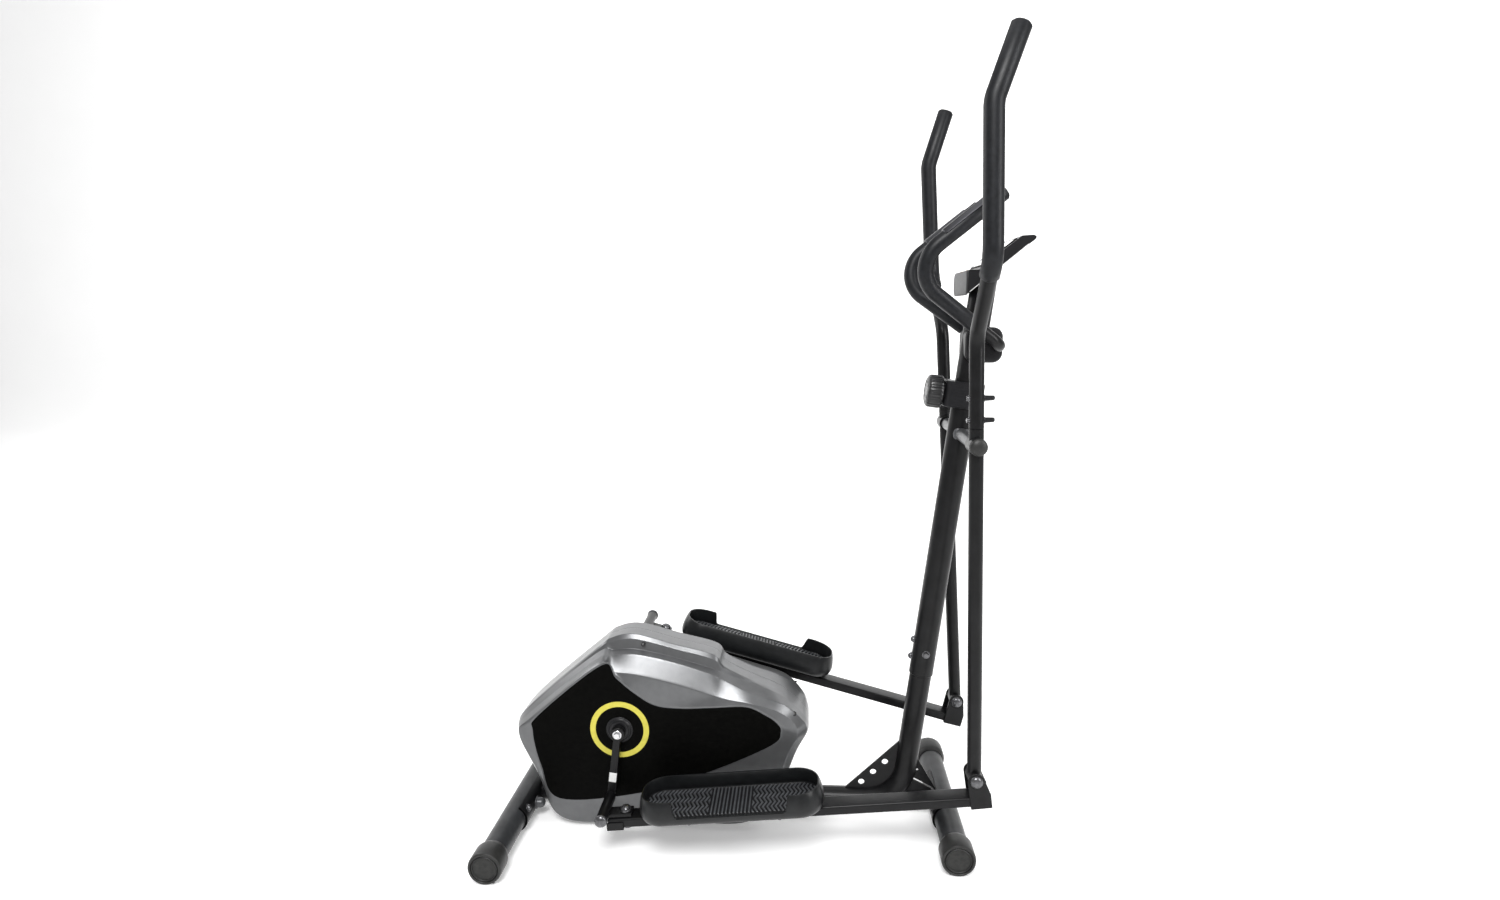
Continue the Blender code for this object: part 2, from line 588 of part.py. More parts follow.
# --------------------------------------------------------------------------- drive
def crank_set():
    reach = CRANK_ARM_OUT - 0.0025
    axle = turned([(0, -reach), (AXLE_R - 0.001, -reach), (AXLE_R, -reach + 0.002), (AXLE_R, reach - 0.002),
                   (AXLE_R - 0.001, reach), (0, reach)], CRANK)
    part("crank_axle", axle, STEEL, pivot=CRANK)
    for name, side in SIDES.items():
        ring = [(AXLE_R + GAP, 0.0213), (0.0200, 0.0213), (0.0200, 0.0315), (AXLE_R + GAP, 0.0315)]
        part("crank_bearing_" + name, turned(ring, CRANK, (0, side, 0)), STEEL)
        throw = Vector((sin(CRANK_TILT), 0.0, cos(CRANK_TILT))) * side
        pin = CRANK + throw * CRANK_THROW
        heading = atan2(throw.z, throw.x) * 180 / pi
        hub, tip, half_width = 0.0155, 0.0090, 0.0075
        neck = asin(half_width / hub) * 180 / pi
        bar = arc((CRANK.x, CRANK.z), hub, heading + neck, heading + 360 - neck, 18)
        bar += arc((pin.x, pin.z), tip, heading - 90, heading + 90, 10)
        arm = slab(bar, side * CRANK_ARM_IN, side * CRANK_ARM_OUT)
        hole = rod(CRANK - Vector((0, 0.13, 0)), CRANK + Vector((0, 0.13, 0)), AXLE_R + GAP)
        part("crank_arm_" + name, arm, POWDER, pivot=CRANK, cut=[hole])
        cover = [(0.0125, 0.0981), (0.0290, 0.0981), (0.0290, 0.0995), (0.0240, 0.1030), (0.0125, 0.1045)]
        part("hub_cover_" + name, turned(cover, (CRANK.x, 0, CRANK.z), (0, side, 0), LARGE_ROUND), BLACK_PLASTIC)


def pulleys():
    low, high = BELT_Y - 0.008, BELT_Y + 0.008
    rim = PULLEY_R - 0.008
    wheel = [(AXLE_R + GAP, low - 0.006), (0.022, low - 0.006), (0.022, BELT_Y - 0.003), (rim, BELT_Y - 0.003),
             (rim, low), (PULLEY_R, low), (PULLEY_R, high), (rim, high), (rim, BELT_Y + 0.003),
             (0.022, BELT_Y + 0.003), (0.022, high), (AXLE_R + GAP, high)]
    holes = []
    for i in range(5):
        angle = 2 * pi * (i + 0.5) / 5
        at = CRANK + Vector((cos(angle), 0.0, sin(angle))) * 0.067
        holes.append(rod(at, at + Vector((0, 0.1, 0)), 0.024, 12))
    part("drive_pulley", turned(wheel, CRANK, count=LARGE_ROUND), CAST, pivot=CRANK, cut=holes)
    band = []
    for offset in (BELT_CLEAR, BELT_CLEAR + BELT_THICK):
        outline = belt_outline(offset, 24)
        for y in (BELT_Y - BELT_WIDTH / 2, BELT_Y + BELT_WIDTH / 2):
            band.append([(x, y, z) for x, z in outline])
    part("drive_belt", loft([band[0], band[1], band[3], band[2]], closed=True), BELT)
    hub_end = high + 0.002
    wheel = [(0.0065, -0.0125), (0.019, -0.0125), (0.019, -0.003), (FLYWHEEL_R - 0.020, -0.003),
             (FLYWHEEL_R - 0.020, -0.012), (FLYWHEEL_R, -0.012), (FLYWHEEL_R, 0.012), (FLYWHEEL_R - 0.020, 0.012),
             (FLYWHEEL_R - 0.020, 0.003), (0.019, 0.003), (0.019, low), (SMALL_PULLEY_R, low),
             (SMALL_PULLEY_R, high), (0.019, high), (0.019, hub_end), (0.0065, hub_end)]
    part("flywheel", turned(wheel, FLYWHEEL, count=LARGE_ROUND), CAST, pivot=FLYWHEEL)
    axle = [(0, -0.030), (0.011, -0.030), (0.011, -0.0243), (0.006, -0.0243), (0.006, 0.0663), (0.011, 0.0663),
            (0.011, 0.072), (0, 0.072)]
    part("flywheel_axle", turned(axle, FLYWHEEL), STEEL)
    wheel = [(0.0045, low), (IDLER_R, low), (IDLER_R, high), (0.0045, high)]
    part("belt_idler", turned(wheel, IDLER), BLACK_PLASTIC, pivot=IDLER)


def brake():
    middle = (FLYWHEEL.x, FLYWHEEL.z)
    pole = FLYWHEEL_R + 0.0025
    arm = slab(arc(middle, pole, 58, 142, 14) + arc(middle, pole + 0.0075, 142, 45, 14), -0.011, 0.011)
    boss = rod(BRAKE_PIVOT - Vector((0, 0.0185, 0)), BRAKE_PIVOT + Vector((0, 0.011, 0)), 0.009, 16)
    link = slab([(BRAKE_PIVOT.x - 0.036, BRAKE_PIVOT.z - 0.0015), (BRAKE_PIVOT.x, BRAKE_PIVOT.z - 0.004),
                 (BRAKE_PIVOT.x + 0.024, BRAKE_PIVOT.z - 0.002), (BRAKE_PIVOT.x + 0.030, BRAKE_PIVOT.z + 0.008),
                 (BRAKE_PIVOT.x, BRAKE_PIVOT.z + 0.006), (BRAKE_PIVOT.x - 0.036, BRAKE_PIVOT.z + 0.004)],
                -0.006, 0.006)
    hole = rod(BRAKE_PIVOT - Vector((0, 0.04, 0)), BRAKE_PIVOT + Vector((0, 0.04, 0)), 0.0043, 12)
    part("brake_arm", arm, DARK_STEEL, pivot=BRAKE_PIVOT, weld=[link, boss], cut=[hole])
    spring_x = BRAKE_PIVOT.x - 0.028
    low, high, turns, steps = 0.1885, BRAKE_PIVOT.z - 0.0032, 5, 8
    coil = []
    for i in range(turns * steps + 1):
        angle = 2 * pi * i / steps
        coil.append(Vector((spring_x + 0.0052 * cos(angle), 0.0052 * sin(angle),
                            low + (high - low) * i / (turns * steps))))
    part("brake_spring", sweep(coil, circle(0.0009, 5)), STEEL)


# --------------------------------------------------------------------------- shell
# Side outlines (x, z) of the right shell, from the rear tip over the top to the front and back along
# the bottom. Matching points of the five outlines make the ribs that the surface runs through.
HUMP_LINE = [(-0.523, 0.205), (-0.500, 0.258), (-0.345, 0.392), (-0.306, 0.420), (-0.255, 0.428),
             (-0.170, 0.406), (-0.085, 0.384), (-0.060, 0.356), (0.000, 0.326), (0.060, 0.300), (0.105, 0.262),
             (0.123, 0.225), (0.100, 0.180), (0.015, 0.026), (-0.200, 0.020), (-0.425, 0.014), (-0.484, 0.110)]
STEP_LINE = [(-0.521, 0.207), (-0.498, 0.256), (-0.342, 0.386), (-0.300, 0.396), (-0.250, 0.398),
             (-0.170, 0.381), (-0.090, 0.358), (-0.062, 0.347), (0.000, 0.324), (0.060, 0.300), (0.105, 0.262),
             (0.122, 0.226), (0.100, 0.182), (0.014, 0.026), (-0.200, 0.020), (-0.425, 0.014), (-0.483, 0.110)]
CREASE_LINE = [(-0.516, 0.211), (-0.492, 0.253), (-0.338, 0.380), (-0.298, 0.391), (-0.250, 0.395),
               (-0.170, 0.379), (-0.090, 0.354), (-0.062, 0.343), (0.000, 0.322), (0.058, 0.302),
               (0.100, 0.262), (0.118, 0.228), (0.098, 0.185), (0.012, 0.026), (-0.200, 0.020),
               (-0.420, 0.013), (-0.479, 0.112)]
FACET_LINE = [(-0.508, 0.216), (-0.480, 0.256), (-0.330, 0.382), (-0.300, 0.366), (-0.240, 0.358),
              (-0.160, 0.335), (-0.090, 0.314), (-0.055, 0.303), (0.010, 0.292), (0.068, 0.290),
              (0.092, 0.258), (0.106, 0.232), (0.088, 0.186), (0.008, 0.030), (-0.200, 0.023),
              (-0.415, 0.017), (-0.468, 0.125)]
FACE_LINE = [(-0.478, 0.228), (-0.463, 0.268), (-0.318, 0.386), (-0.284, 0.355), (-0.250, 0.325),
             (-0.205, 0.297), (-0.150, 0.291), (-0.085, 0.294), (-0.008, 0.300), (0.037, 0.280),
             (0.062, 0.264), (0.070, 0.241), (0.047, 0.206), (-0.087, 0.142), (-0.240, 0.087),
             (-0.423, 0.068), (-0.463, 0.148)]
SMOOTH_STEPS = 2


def smooth(line):
    """Closed Catmull-Rom curve through the points of a line."""
    points = [Vector(p) for p in line]
    count = len(points)
    out = []
    for i in range(count):
        a, b, c, d = (points[(i + k) % count] for k in (-1, 0, 1, 2))
        for step in range(SMOOTH_STEPS):
            t = step / SMOOTH_STEPS
            out.append(0.5 * (2 * b + (c - a) * t + (2 * a - 5 * b + 4 * c - d) * t * t
                              + (3 * b - 3 * c + d - a) * t ** 3))
    return out


def inset(points, depth):
    """Closed outline moved inwards by depth; the outline runs clockwise seen with X to the right."""
    out = []
    for i, p in enumerate(points):
        tangent = points[(i + 1) % len(points)] - points[i - 1]
        normal = Vector((tangent.y, -tangent.x)).normalized()
        out.append(p + normal * depth)
    return out


def hub_ring(points, radius):
    """Ring round the crank axis with one point on the bearing of each point of an outline."""
    middle = Vector((CRANK.x, CRANK.z))
    return [middle + (p - middle).normalized() * radius for p in points]


def shells():
    hump, step, crease = smooth(HUMP_LINE), smooth(STEP_LINE), smooth(CREASE_LINE)
    facet, face = smooth(FACET_LINE), smooth(FACE_LINE)
    edge = [p.lerp(q, 0.12) for p, q in zip(hump, step)]
    hole_r = 0.0135
    outside = [(hump, GAP / 2), (hump, 0.034), (edge, 0.041), (step, 0.0455), (crease, 0.066), (facet, 0.083),
               (face, SHELL_SIDE_Y), (hub_ring(face, hole_r), SHELL_SIDE_Y)]
    inside = [(hub_ring(face, hole_r), SHELL_SIDE_Y - SHELL_WALL)]
    for line, y in ((face, SHELL_SIDE_Y), (facet, 0.083), (crease, 0.066), (step, 0.0455), (hump, 0.036)):
        inside.append((inset(line, SHELL_WALL), y - SHELL_WALL))
    inside.append((inset(hump, SHELL_WALL), GAP / 2))
    for name, side in SIDES.items():
        rings = [[(p.x, side * y, p.y) for p in line] for line, y in outside + inside]
        tube_way = block((-0.6, -0.027, -0.05), (0.2, 0.027, 0.0605))
        part("shell_" + name, loft(rings, closed=True), SILVER, cut=[tube_way])
        border = inset(face, 0.004)
        low, high = SHELL_SIDE_Y + GAP, SHELL_SIDE_Y + GAP + PANEL_THICK
        rings = [[(p.x, side * y, p.y) for p in line] for line, y in (
            (border, low), (border, high), (hub_ring(border, hole_r), high), (hub_ring(border, hole_r), low))]
        part("side_panel_" + name, loft(rings, closed=True), PANEL)


# --------------------------------------------------------------------------- swing arms
BAR_FRONT_DROP = 0.0470     # pedal tube centreline below the lower joint
BAR_REAR_DROP = 0.0232      # and below the crank pin
BAR_WIDTH, BAR_HEIGHT, BAR_WALL = 0.040, 0.020, 0.002
EAR_IN, EAR_OUT = 0.0194, 0.0240


def dome(radius, start, height, steps=3):
    """Profile points of a domed head, from its rim at start to its crown."""
    turn = [pi / 2 * i / steps for i in range(steps + 1)]
    return [(radius * cos(a), start + height * sin(a)) for a in turn[:-1]] + [(0, start + height)]


def swing_arm(name, side):
    """Swing arm, handlebar, foam and pivot cap of one side, drawn with the pivot at the origin."""
    _, pivot, joint = linkage(side)
    lean = atan2(pivot.x - joint.x, pivot.z - joint.z)
    holder = empty("swing_axis_" + name, pivot, lean)
    spigot_r = ARM_TUBE_R - ARM_TUBE_WALL - SLEEVE_GAP
    low = -SWING_LENGTH
    tube = rod((0, 0, low), (0, 0, 0.032), ARM_TUBE_R, 16)
    spigot = rod((0, 0, 0.02), (0, 0, 0.125), spigot_r, 16)
    pivot_sleeve = rod((0, -0.0215, 0), (0, 0.0215, 0), 0.0170)
    joint_sleeve = rod((0, -0.0190, low), (0, 0.0190, low), 0.0150)
    bore = rod((0, 0, low + 0.020), (0, 0, 0.15), spigot_r - 0.0015, 16)
    pivot_bore = rod((0, -0.03, 0), (0, 0.03, 0), 0.0078 + GAP)
    joint_bore = rod((0, -0.03, low), (0, 0.03, low), 0.006 + GAP)
    part("swing_arm_" + name, tube, POWDER, holder=holder, weld=[spigot, pivot_sleeve, joint_sleeve],
         cut=[bore, pivot_bore, joint_bore])
    path = fillet([(0, 0, 0.0323), (0, 0, 0.205), (0, side * 0.126, 0.335), (0, side * 0.122, 0.585),
                   (0.043, side * 0.119, 0.698)], 0.060, 4)
    bar = pipe(path, circle(ARM_TUBE_R, 12), circle(ARM_TUBE_R - ARM_TUBE_WALL, 12))
    part("handlebar_" + name, bar, POWDER, holder=holder)
    path = fillet([(0, side * 0.0969, 0.305), (0, side * 0.126, 0.335), (0, side * 0.122, 0.585),
                   (0.0438, side * 0.119, 0.7005)], 0.060, 4)
    foam = pipe(path, circle(0.0175, 12), circle(ARM_TUBE_R + SLEEVE_GAP, 12))
    part("handle_foam_" + name, foam, FOAM, holder=holder)
    cap = [(0, 0.0218), (0.0165, 0.0218)] + dome(0.0165, 0.0235, 0.0085)
    part("pivot_cap_" + name, turned(cap, pivot, (0, side, 0)), CAP_PLASTIC)


# --------------------------------------------------------------------------- pedal arms
def pedal_arm(name, side):
    """Pedal arm and everything on it, drawn with the lower joint at the origin and +X forward."""
    pin, _, joint = linkage(side)
    rise = atan2(joint.z - pin.z, joint.x - pin.x)
    holder = empty("pedal_axis_" + name, joint, -rise)
    tilt = atan2(BAR_FRONT_DROP - BAR_REAR_DROP, PEDAL_LENGTH)
    bar_frame = Matrix.Translation((0, 0, -BAR_FRONT_DROP)) @ Matrix.Rotation(tilt, 4, "Y")
    half_w, half_h = BAR_WIDTH / 2, BAR_HEIGHT / 2
    rear, front = -PEDAL_LENGTH + 0.006, 0.024
    bolt_x = -PEDAL_LENGTH + 0.042
    tube = pipe([(rear, 0, 0), (front, 0, 0)], rounded_rectangle(BAR_WIDTH, BAR_HEIGHT, 0.004),
                rounded_rectangle(BAR_WIDTH - 2 * BAR_WALL, BAR_HEIGHT - 2 * BAR_WALL, 0.002))
    ear_line = arc((0, 0), 0.017, 0, 180, 8) + [(-0.016, -0.0590), (0.026, -0.0590), (0.026, -0.030)]
    ears = [slab(ear_line, EAR_IN, EAR_OUT), slab(ear_line, -EAR_OUT, -EAR_IN)]
    ear_base = block((-0.0155, -0.0225, -0.0584), (0.0255, 0.0225, -0.0555))
    joint_bore = rod((0, -0.03, 0), (0, 0.03, 0), 0.006 + GAP)
    shoe_end = bolt_x - 0.004
    shoe = [moved(block(low, high), bar_frame) for low, high in (
        ((rear - 0.0030, -half_w - 0.0030, -half_h - 0.003), (shoe_end, half_w + 0.0030, -half_h + 0.001)),
        ((rear - 0.0025, -half_w - 0.0027, -half_h - 0.002), (shoe_end - 0.001, -half_w + 0.001, half_h - 0.006)),
        ((rear - 0.0025, half_w - 0.001, -half_h - 0.002), (shoe_end - 0.001, half_w + 0.0027, half_h - 0.006)))]
    bolt_bore = rod((bolt_x, 0, -0.04), (bolt_x, 0, 0.04), 0.0053, 12)
    part("pedal_arm_" + name, moved(tube, bar_frame), POWDER, holder=holder, weld=ears + [ear_base] + shoe,
         cut=[joint_bore, moved(bolt_bore, bar_frame)])

    pin_end = dome(0.0130, EAR_OUT + GAP, 0.0085)
    joint_pin = [(0, -EAR_OUT - 0.0085)] + [(r, -y) for r, y in reversed(pin_end[:-1])]
    joint_pin += [(0.006, -EAR_OUT - GAP), (0.006, EAR_OUT + GAP)] + pin_end
    part("joint_pin_" + name, turned(joint_pin, axis=(0, 1, 0)), DARK_STEEL, holder=holder)

    at_pin = Vector((-PEDAL_LENGTH, 0, 0))
    near, far = -0.0465, 0.0400
    sleeve = turned([(0, near), (0.0115, near), (0.0115, far), (0, far)], at_pin, (0, side, 0), 20)
    lug_low = half_h + GAP
    lug = block((-PEDAL_LENGTH + 0.002, -0.015, lug_low), (bolt_x + 0.014, 0.015, lug_low + 0.008))
    web = block((-PEDAL_LENGTH - 0.005, -0.013, lug_low + 0.004), (-PEDAL_LENGTH + 0.010, 0.013, lug_low + 0.016))
    pin_bore = turned([(0, near - 0.01), (0.0063, near - 0.01), (0.0063, far + 0.01), (0, far + 0.01)],
                      at_pin, (0, side, 0), 20)
    lug_bore = rod((bolt_x, 0, -0.01), (bolt_x, 0, 0.04), 0.0053, 12)
    part("crank_sleeve_" + name, sleeve, POWDER, holder=holder,
         weld=[moved(lug, bar_frame), moved(web, bar_frame)], cut=[pin_bore, moved(lug_bore, bar_frame)])
    bolt = [(0, near + 0.0002), (0.006, near + 0.0002), (0.006, far + GAP), (0.0135, far + GAP)]
    bolt += dome(0.0135, far + 0.0020, 0.0090)
    part("crank_pin_" + name, turned(bolt, at_pin, (0, side, 0), 20), DARK_STEEL, holder=holder)

    top = lug_low + 0.008 + GAP
    bottom = -half_h - 0.003 - GAP
    bolt = [(0, bottom - 0.005), (0.009, bottom - 0.005), (0.009, bottom), (0.005, bottom), (0.005, top),
            (0.0118, top)] + dome(0.0118, top + 0.001, 0.0100)
    part("fork_bolt_" + name, moved(turned(bolt, (bolt_x, 0, 0), (0, 0, 1), 16), bar_frame), DARK_STEEL,
         holder=holder)
    part("footplate_" + name, moved(footplate(side, half_h + GAP), bar_frame), TREAD, holder=holder)


def footplate(side, base):
    """Foot tray: high wall round the ends and the inner side, low lip along the outer side.

    The wall swells above the floor of the tray, and its high rim leans inwards.
    """
    length, width, corner = 0.378, 0.116, 0.050
    centre_x, centre_y = -0.494, 0.013
    tread, skirt, belly = base + 0.023, base + 0.009, base + 0.0245
    high, low = base + 0.057, base + 0.026
    cut_rear, cut_front, blend = -0.617, -0.368, 0.016

    def ring(shrink, height, share=0.0, lean=0.0):
        """Ring at a height, raised by a share of the wall above belly and leaning in with it."""
        outline = rounded_rectangle(length - 2 * shrink, width - 2 * shrink, corner - shrink, 5)
        points = []
        for (x, y), (next_x, next_y) in zip(outline, outline[1:] + outline[:1]):
            steps = 14 if hypot(next_x - x, next_y - y) > 0.05 else 1
            for i in range(steps):
                px, py = x + (next_x - x) * i / steps, y + (next_y - y) * i / steps
                tall = wall(px + centre_x, py)
                rise = (low + (high - low) * tall - belly) * share
                inward_x = 1 - lean * tall / (length / 2 - shrink)
                inward_y = 1 - lean * tall / (width / 2 - shrink)
                points.append((px * inward_x + centre_x, side * (py * inward_y + centre_y), height + rise))
        return points

    def wall(x, y):
        """1 where the wall is high, 0 along the outer side, where it dips between the two ends."""
        inside = min((x - cut_rear) / blend, (cut_front - x) / blend, y / 0.020)
        ease = min(max(inside, 0.0), 1.0)
        return 1 - ease * ease * (3 - 2 * ease)

    return loft([ring(0.026, base), ring(0.005, skirt), ring(0.0, belly), ring(0.0, belly, 0.4, 0.0015),
                 ring(0.0, belly, 1.0, 0.007), ring(0.0035, belly, 1.0, 0.007), ring(0.006, tread)])


stabilisers()
main_frame()
upper_mast()
tension_control()
tension_cable()
fixed_handlebar()
console()
crank_set()
pulleys()
brake()
shells()
for side_name, side_sign in SIDES.items():
    swing_arm(side_name, side_sign)
    pedal_arm(side_name, side_sign)
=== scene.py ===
"""Looks of the elliptical trainer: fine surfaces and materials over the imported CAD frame.

+X is the front of the machine, +Y the user's left and +Z up. Everything is in metres.
"""
import json
from math import asin, atan2, cos, degrees, hypot, pi, radians, sin, sqrt, tan

import bmesh
import bpy
from mathutils import Matrix, Vector


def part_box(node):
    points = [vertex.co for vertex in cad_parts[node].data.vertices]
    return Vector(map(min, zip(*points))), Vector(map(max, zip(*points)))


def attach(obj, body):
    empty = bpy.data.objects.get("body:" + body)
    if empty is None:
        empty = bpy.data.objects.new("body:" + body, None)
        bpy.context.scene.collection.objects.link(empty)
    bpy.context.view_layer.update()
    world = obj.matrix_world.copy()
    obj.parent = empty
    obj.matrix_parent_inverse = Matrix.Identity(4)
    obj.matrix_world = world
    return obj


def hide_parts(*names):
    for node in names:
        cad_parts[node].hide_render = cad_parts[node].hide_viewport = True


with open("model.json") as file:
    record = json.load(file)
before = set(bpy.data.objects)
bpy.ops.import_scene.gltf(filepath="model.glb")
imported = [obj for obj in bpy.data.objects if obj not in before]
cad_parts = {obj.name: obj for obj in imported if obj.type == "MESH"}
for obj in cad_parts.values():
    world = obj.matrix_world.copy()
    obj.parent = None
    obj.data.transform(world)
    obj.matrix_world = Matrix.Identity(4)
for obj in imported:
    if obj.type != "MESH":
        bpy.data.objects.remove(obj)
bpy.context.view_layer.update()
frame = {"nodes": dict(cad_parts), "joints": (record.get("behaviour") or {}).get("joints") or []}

SIDES = {"right": -1, "left": 1}
JOINTS = {joint["name"]: joint for joint in frame["joints"]}


def joint_at(name):
    return Vector(JOINTS[name]["pos_m"])


CRANK = joint_at("crank_turn")
PIVOT = joint_at("swing_right_turn")
PIVOT.y = 0
MAST_FOOT_X, MAST_LEAN = 0.325, 0.126
MAST_ANGLE = atan2(MAST_LEAN, 1)
MAST_R, STUB_R = 0.0258, 0.0235  # the upper mast, and the base tube with the mast's stub
BASE_Z = 0.034
FLOOR_TUBE_R, FLOOR_TUBE_Z = 0.0275, 0.0345
FRONT_TUBE_X, REAR_TUBE_X = 0.421, -0.52
CONTROL_Z = 0.946  # height of the tension control on the mast
CONSOLE_FOOT = (0.43, 0, 1.1515)
ARM_Y = 0.169
TUBE_R = 0.014
SWING_LENGTH, PEDAL_LENGTH = 0.6717, 0.7616
BAR_FRONT_DROP, BAR_REAR_DROP = 0.047, 0.0232  # pedal tube under the line from joint to crank pin
BAR_WIDTH, BAR_HEIGHT = 0.04, 0.02
CRANK_TILT, CRANK_THROW = radians(7.6), 0.1416
CRANK_IN, CRANK_OUT = 0.1075, 0.1215


def mast_at(z):
    """Point of the mast's centreline at height z."""
    return Vector((MAST_FOOT_X + MAST_LEAN * z, 0, z))


def crank_throw(side):
    """Direction from the crank axle to one side's crank pin at rest."""
    return Vector((sin(CRANK_TILT), 0, cos(CRANK_TILT))) * side


# ------------------------------ materials
COAT_ROUGHNESS = 0.12
GRAIN_DETAIL, MOTTLE_DETAIL, ROUGH_DETAIL, WEAVE_DETAIL = 3, 6, 5, 2
MOTTLE_RANGE = (0.3, 0.7)  # noise values where the mottle is darkest and lightest
ROUGH_SCALE = 2.3  # how much finer the roughness varies than the colour
WEAVE_STRETCH = (1, 1, 0.06)


def fill(node, values):
    for socket, value in values.items():
        node.inputs[socket].default_value = value


def material(name, colour, roughness, metallic, mottle, mottle_scale, rough_spread, grain, coat=0,
             weave=None, specular=0.5):
    """Principled material whose colour, roughness and relief vary over the surface.

    mottle is how far the colour strays either way, and grain lists (scale, strength, depth) of
    relief. weave is (scale, strength, depth) of fine upright streaks.
    """
    mat = bpy.data.materials.new(name)
    mat.use_nodes = True
    nodes, links = mat.node_tree.nodes, mat.node_tree.links
    shader = nodes["Principled BSDF"]
    fill(shader, {"Metallic": metallic, "Specular IOR Level": specular})
    if coat:
        fill(shader, {"Coat Weight": coat, "Coat Roughness": COAT_ROUGHNESS})
    place = nodes.new("ShaderNodeTexCoord")

    def noise(scale, detail=GRAIN_DETAIL, stretch=None):
        texture = nodes.new("ShaderNodeTexNoise")
        fill(texture, {"Scale": scale, "Detail": detail})
        source = place.outputs["Object"]
        if stretch:
            mapping = nodes.new("ShaderNodeMapping")
            fill(mapping, {"Scale": stretch})
            links.new(source, mapping.inputs["Vector"])
            source = mapping.outputs["Vector"]
        links.new(source, texture.inputs["Vector"])
        return texture.outputs["Fac"]

    ramp = nodes.new("ShaderNodeValToRGB")
    dark, light = ramp.color_ramp.elements
    dark.position, light.position = MOTTLE_RANGE
    dark.color = [c * (1 - mottle) for c in colour] + [1]
    light.color = [min(1, c * (1 + mottle)) for c in colour] + [1]
    links.new(noise(mottle_scale, MOTTLE_DETAIL), ramp.inputs["Fac"])
    links.new(ramp.outputs["Color"], shader.inputs["Base Color"])

    spread = nodes.new("ShaderNodeMapRange")
    fill(spread, {"To Min": max(0.02, roughness - rough_spread),
                  "To Max": min(1, roughness + rough_spread)})
    links.new(noise(mottle_scale * ROUGH_SCALE, ROUGH_DETAIL), spread.inputs["Value"])
    links.new(spread.outputs["Result"], shader.inputs["Roughness"])

    normal = None
    layers = [(noise(scale), strength, depth) for scale, strength, depth in grain]
    if weave:
        scale, strength, depth = weave
        layers.append((noise(scale, WEAVE_DETAIL, WEAVE_STRETCH), strength, depth))
    for height, strength, depth in layers:
        bump = nodes.new("ShaderNodeBump")
        fill(bump, {"Strength": strength, "Distance": depth})
        links.new(height, bump.inputs["Height"])
        if normal:
            links.new(normal, bump.inputs["Normal"])
        normal = bump.outputs["Normal"]
    links.new(normal, shader.inputs["Normal"])
    return mat


COAT_GRAIN = ((1400, 0.25, 0.0001), (380, 0.15, 0.00012))
MOULDED_GRAIN = ((1000, 0.35, 0.00015),)
TREAD_GRAIN = ((1200, 0.35, 0.00015),)
PRINT_GRAIN = ((900, 0.15, 0.0001),)

# Name, colour, roughness, metallic, mottle, mottle scale, roughness spread and grain.
POWDER = material("powder_coat", (0.005, 0.005, 0.0054), 0.32, 0, 0.35, 35, 0.08, COAT_GRAIN,
                  specular=0.2)
FLOOR_COAT = material("grey_powder_coat", (0.022, 0.023, 0.0245), 0.38, 0, 0.3, 40, 0.08,
                      COAT_GRAIN, specular=0.25)
AXLE_PAINT = material("axle_paint", (0.07, 0.072, 0.076), 0.36, 0.3, 0.12, 40, 0.06,
                      ((1400, 0.3, 0.0001),))
CAP = material("cap_plastic", (0.018, 0.018, 0.0175), 0.42, 0, 0.2, 70, 0.08,
               ((1100, 0.3, 0.00015), (300, 0.2, 0.0002)), specular=0.3)
CAP_FACE = material("cap_face_plastic", (0.013, 0.013, 0.012), 0.58, 0, 0.5, 130, 0.12,
                    ((700, 0.6, 0.0003), (260, 0.4, 0.0003)), specular=0.35)
BLACK = material("black_plastic", (0.0055, 0.0055, 0.0065), 0.38, 0, 0.2, 60, 0.07, MOULDED_GRAIN,
                 specular=0.28)
GLOSS = material("gloss_black_plastic", (0.004, 0.004, 0.0045), 0.32, 0, 0.2, 60, 0.05,
                 ((600, 0.1, 0.0001),), specular=0.5)
LIGHT = material("light_grey_plastic", (0.02, 0.0205, 0.0215), 0.42, 0, 0.08, 50, 0.06,
                 MOULDED_GRAIN)
SILVER = material("silver_plastic", (0.122, 0.124, 0.127), 0.3, 0.6, 0.07, 45, 0.05,
                  ((2200, 0.25, 0.00006), (140, 0.05, 0.0003)), specular=0.35)
PANEL = material("black_panel", (0.0012, 0.0012, 0.001), 0.46, 0, 0.5, 120, 0.08, PRINT_GRAIN,
                 weave=(500, 0.25, 0.0001), specular=0.03)
YELLOW = material("yellow_print", (0.52, 0.47, 0.075), 0.45, 0, 0.07, 90, 0.06, PRINT_GRAIN,
                  specular=0.15)
TREAD = material("tread_plastic", (0.05, 0.053, 0.057), 0.42, 0, 0.2, 80, 0.08, TREAD_GRAIN)
# Darker copy of the tread plastic for the tread's grooves: painted shade.
PAINTED_GROOVE_SHADE = material("tread_groove_painted_shade", (0.007, 0.007, 0.008), 0.55, 0, 0.25, 80, 0.08,
                  TREAD_GRAIN, specular=0.25)
TRAY = material("tray_plastic", (0.0055, 0.006, 0.0065), 0.34, 0, 0.3, 60, 0.08,
                ((1200, 0.25, 0.00012),), specular=0.3)
FOAM = material("foam_rubber", (0.0065, 0.007, 0.0085), 0.42, 0, 0.35, 110, 0.07,
                ((1800, 0.3, 0.00018), (500, 0.15, 0.0002)), specular=0.22)
STEEL = material("bright_steel", (0.6, 0.6, 0.61), 0.26, 1, 0.06, 120, 0.06, ((500, 0.1, 0.0001),))
DARK_STEEL = material("dark_steel", (0.11, 0.11, 0.115), 0.28, 0.8, 0.25, 120, 0.08,
                      ((700, 0.2, 0.0001),))
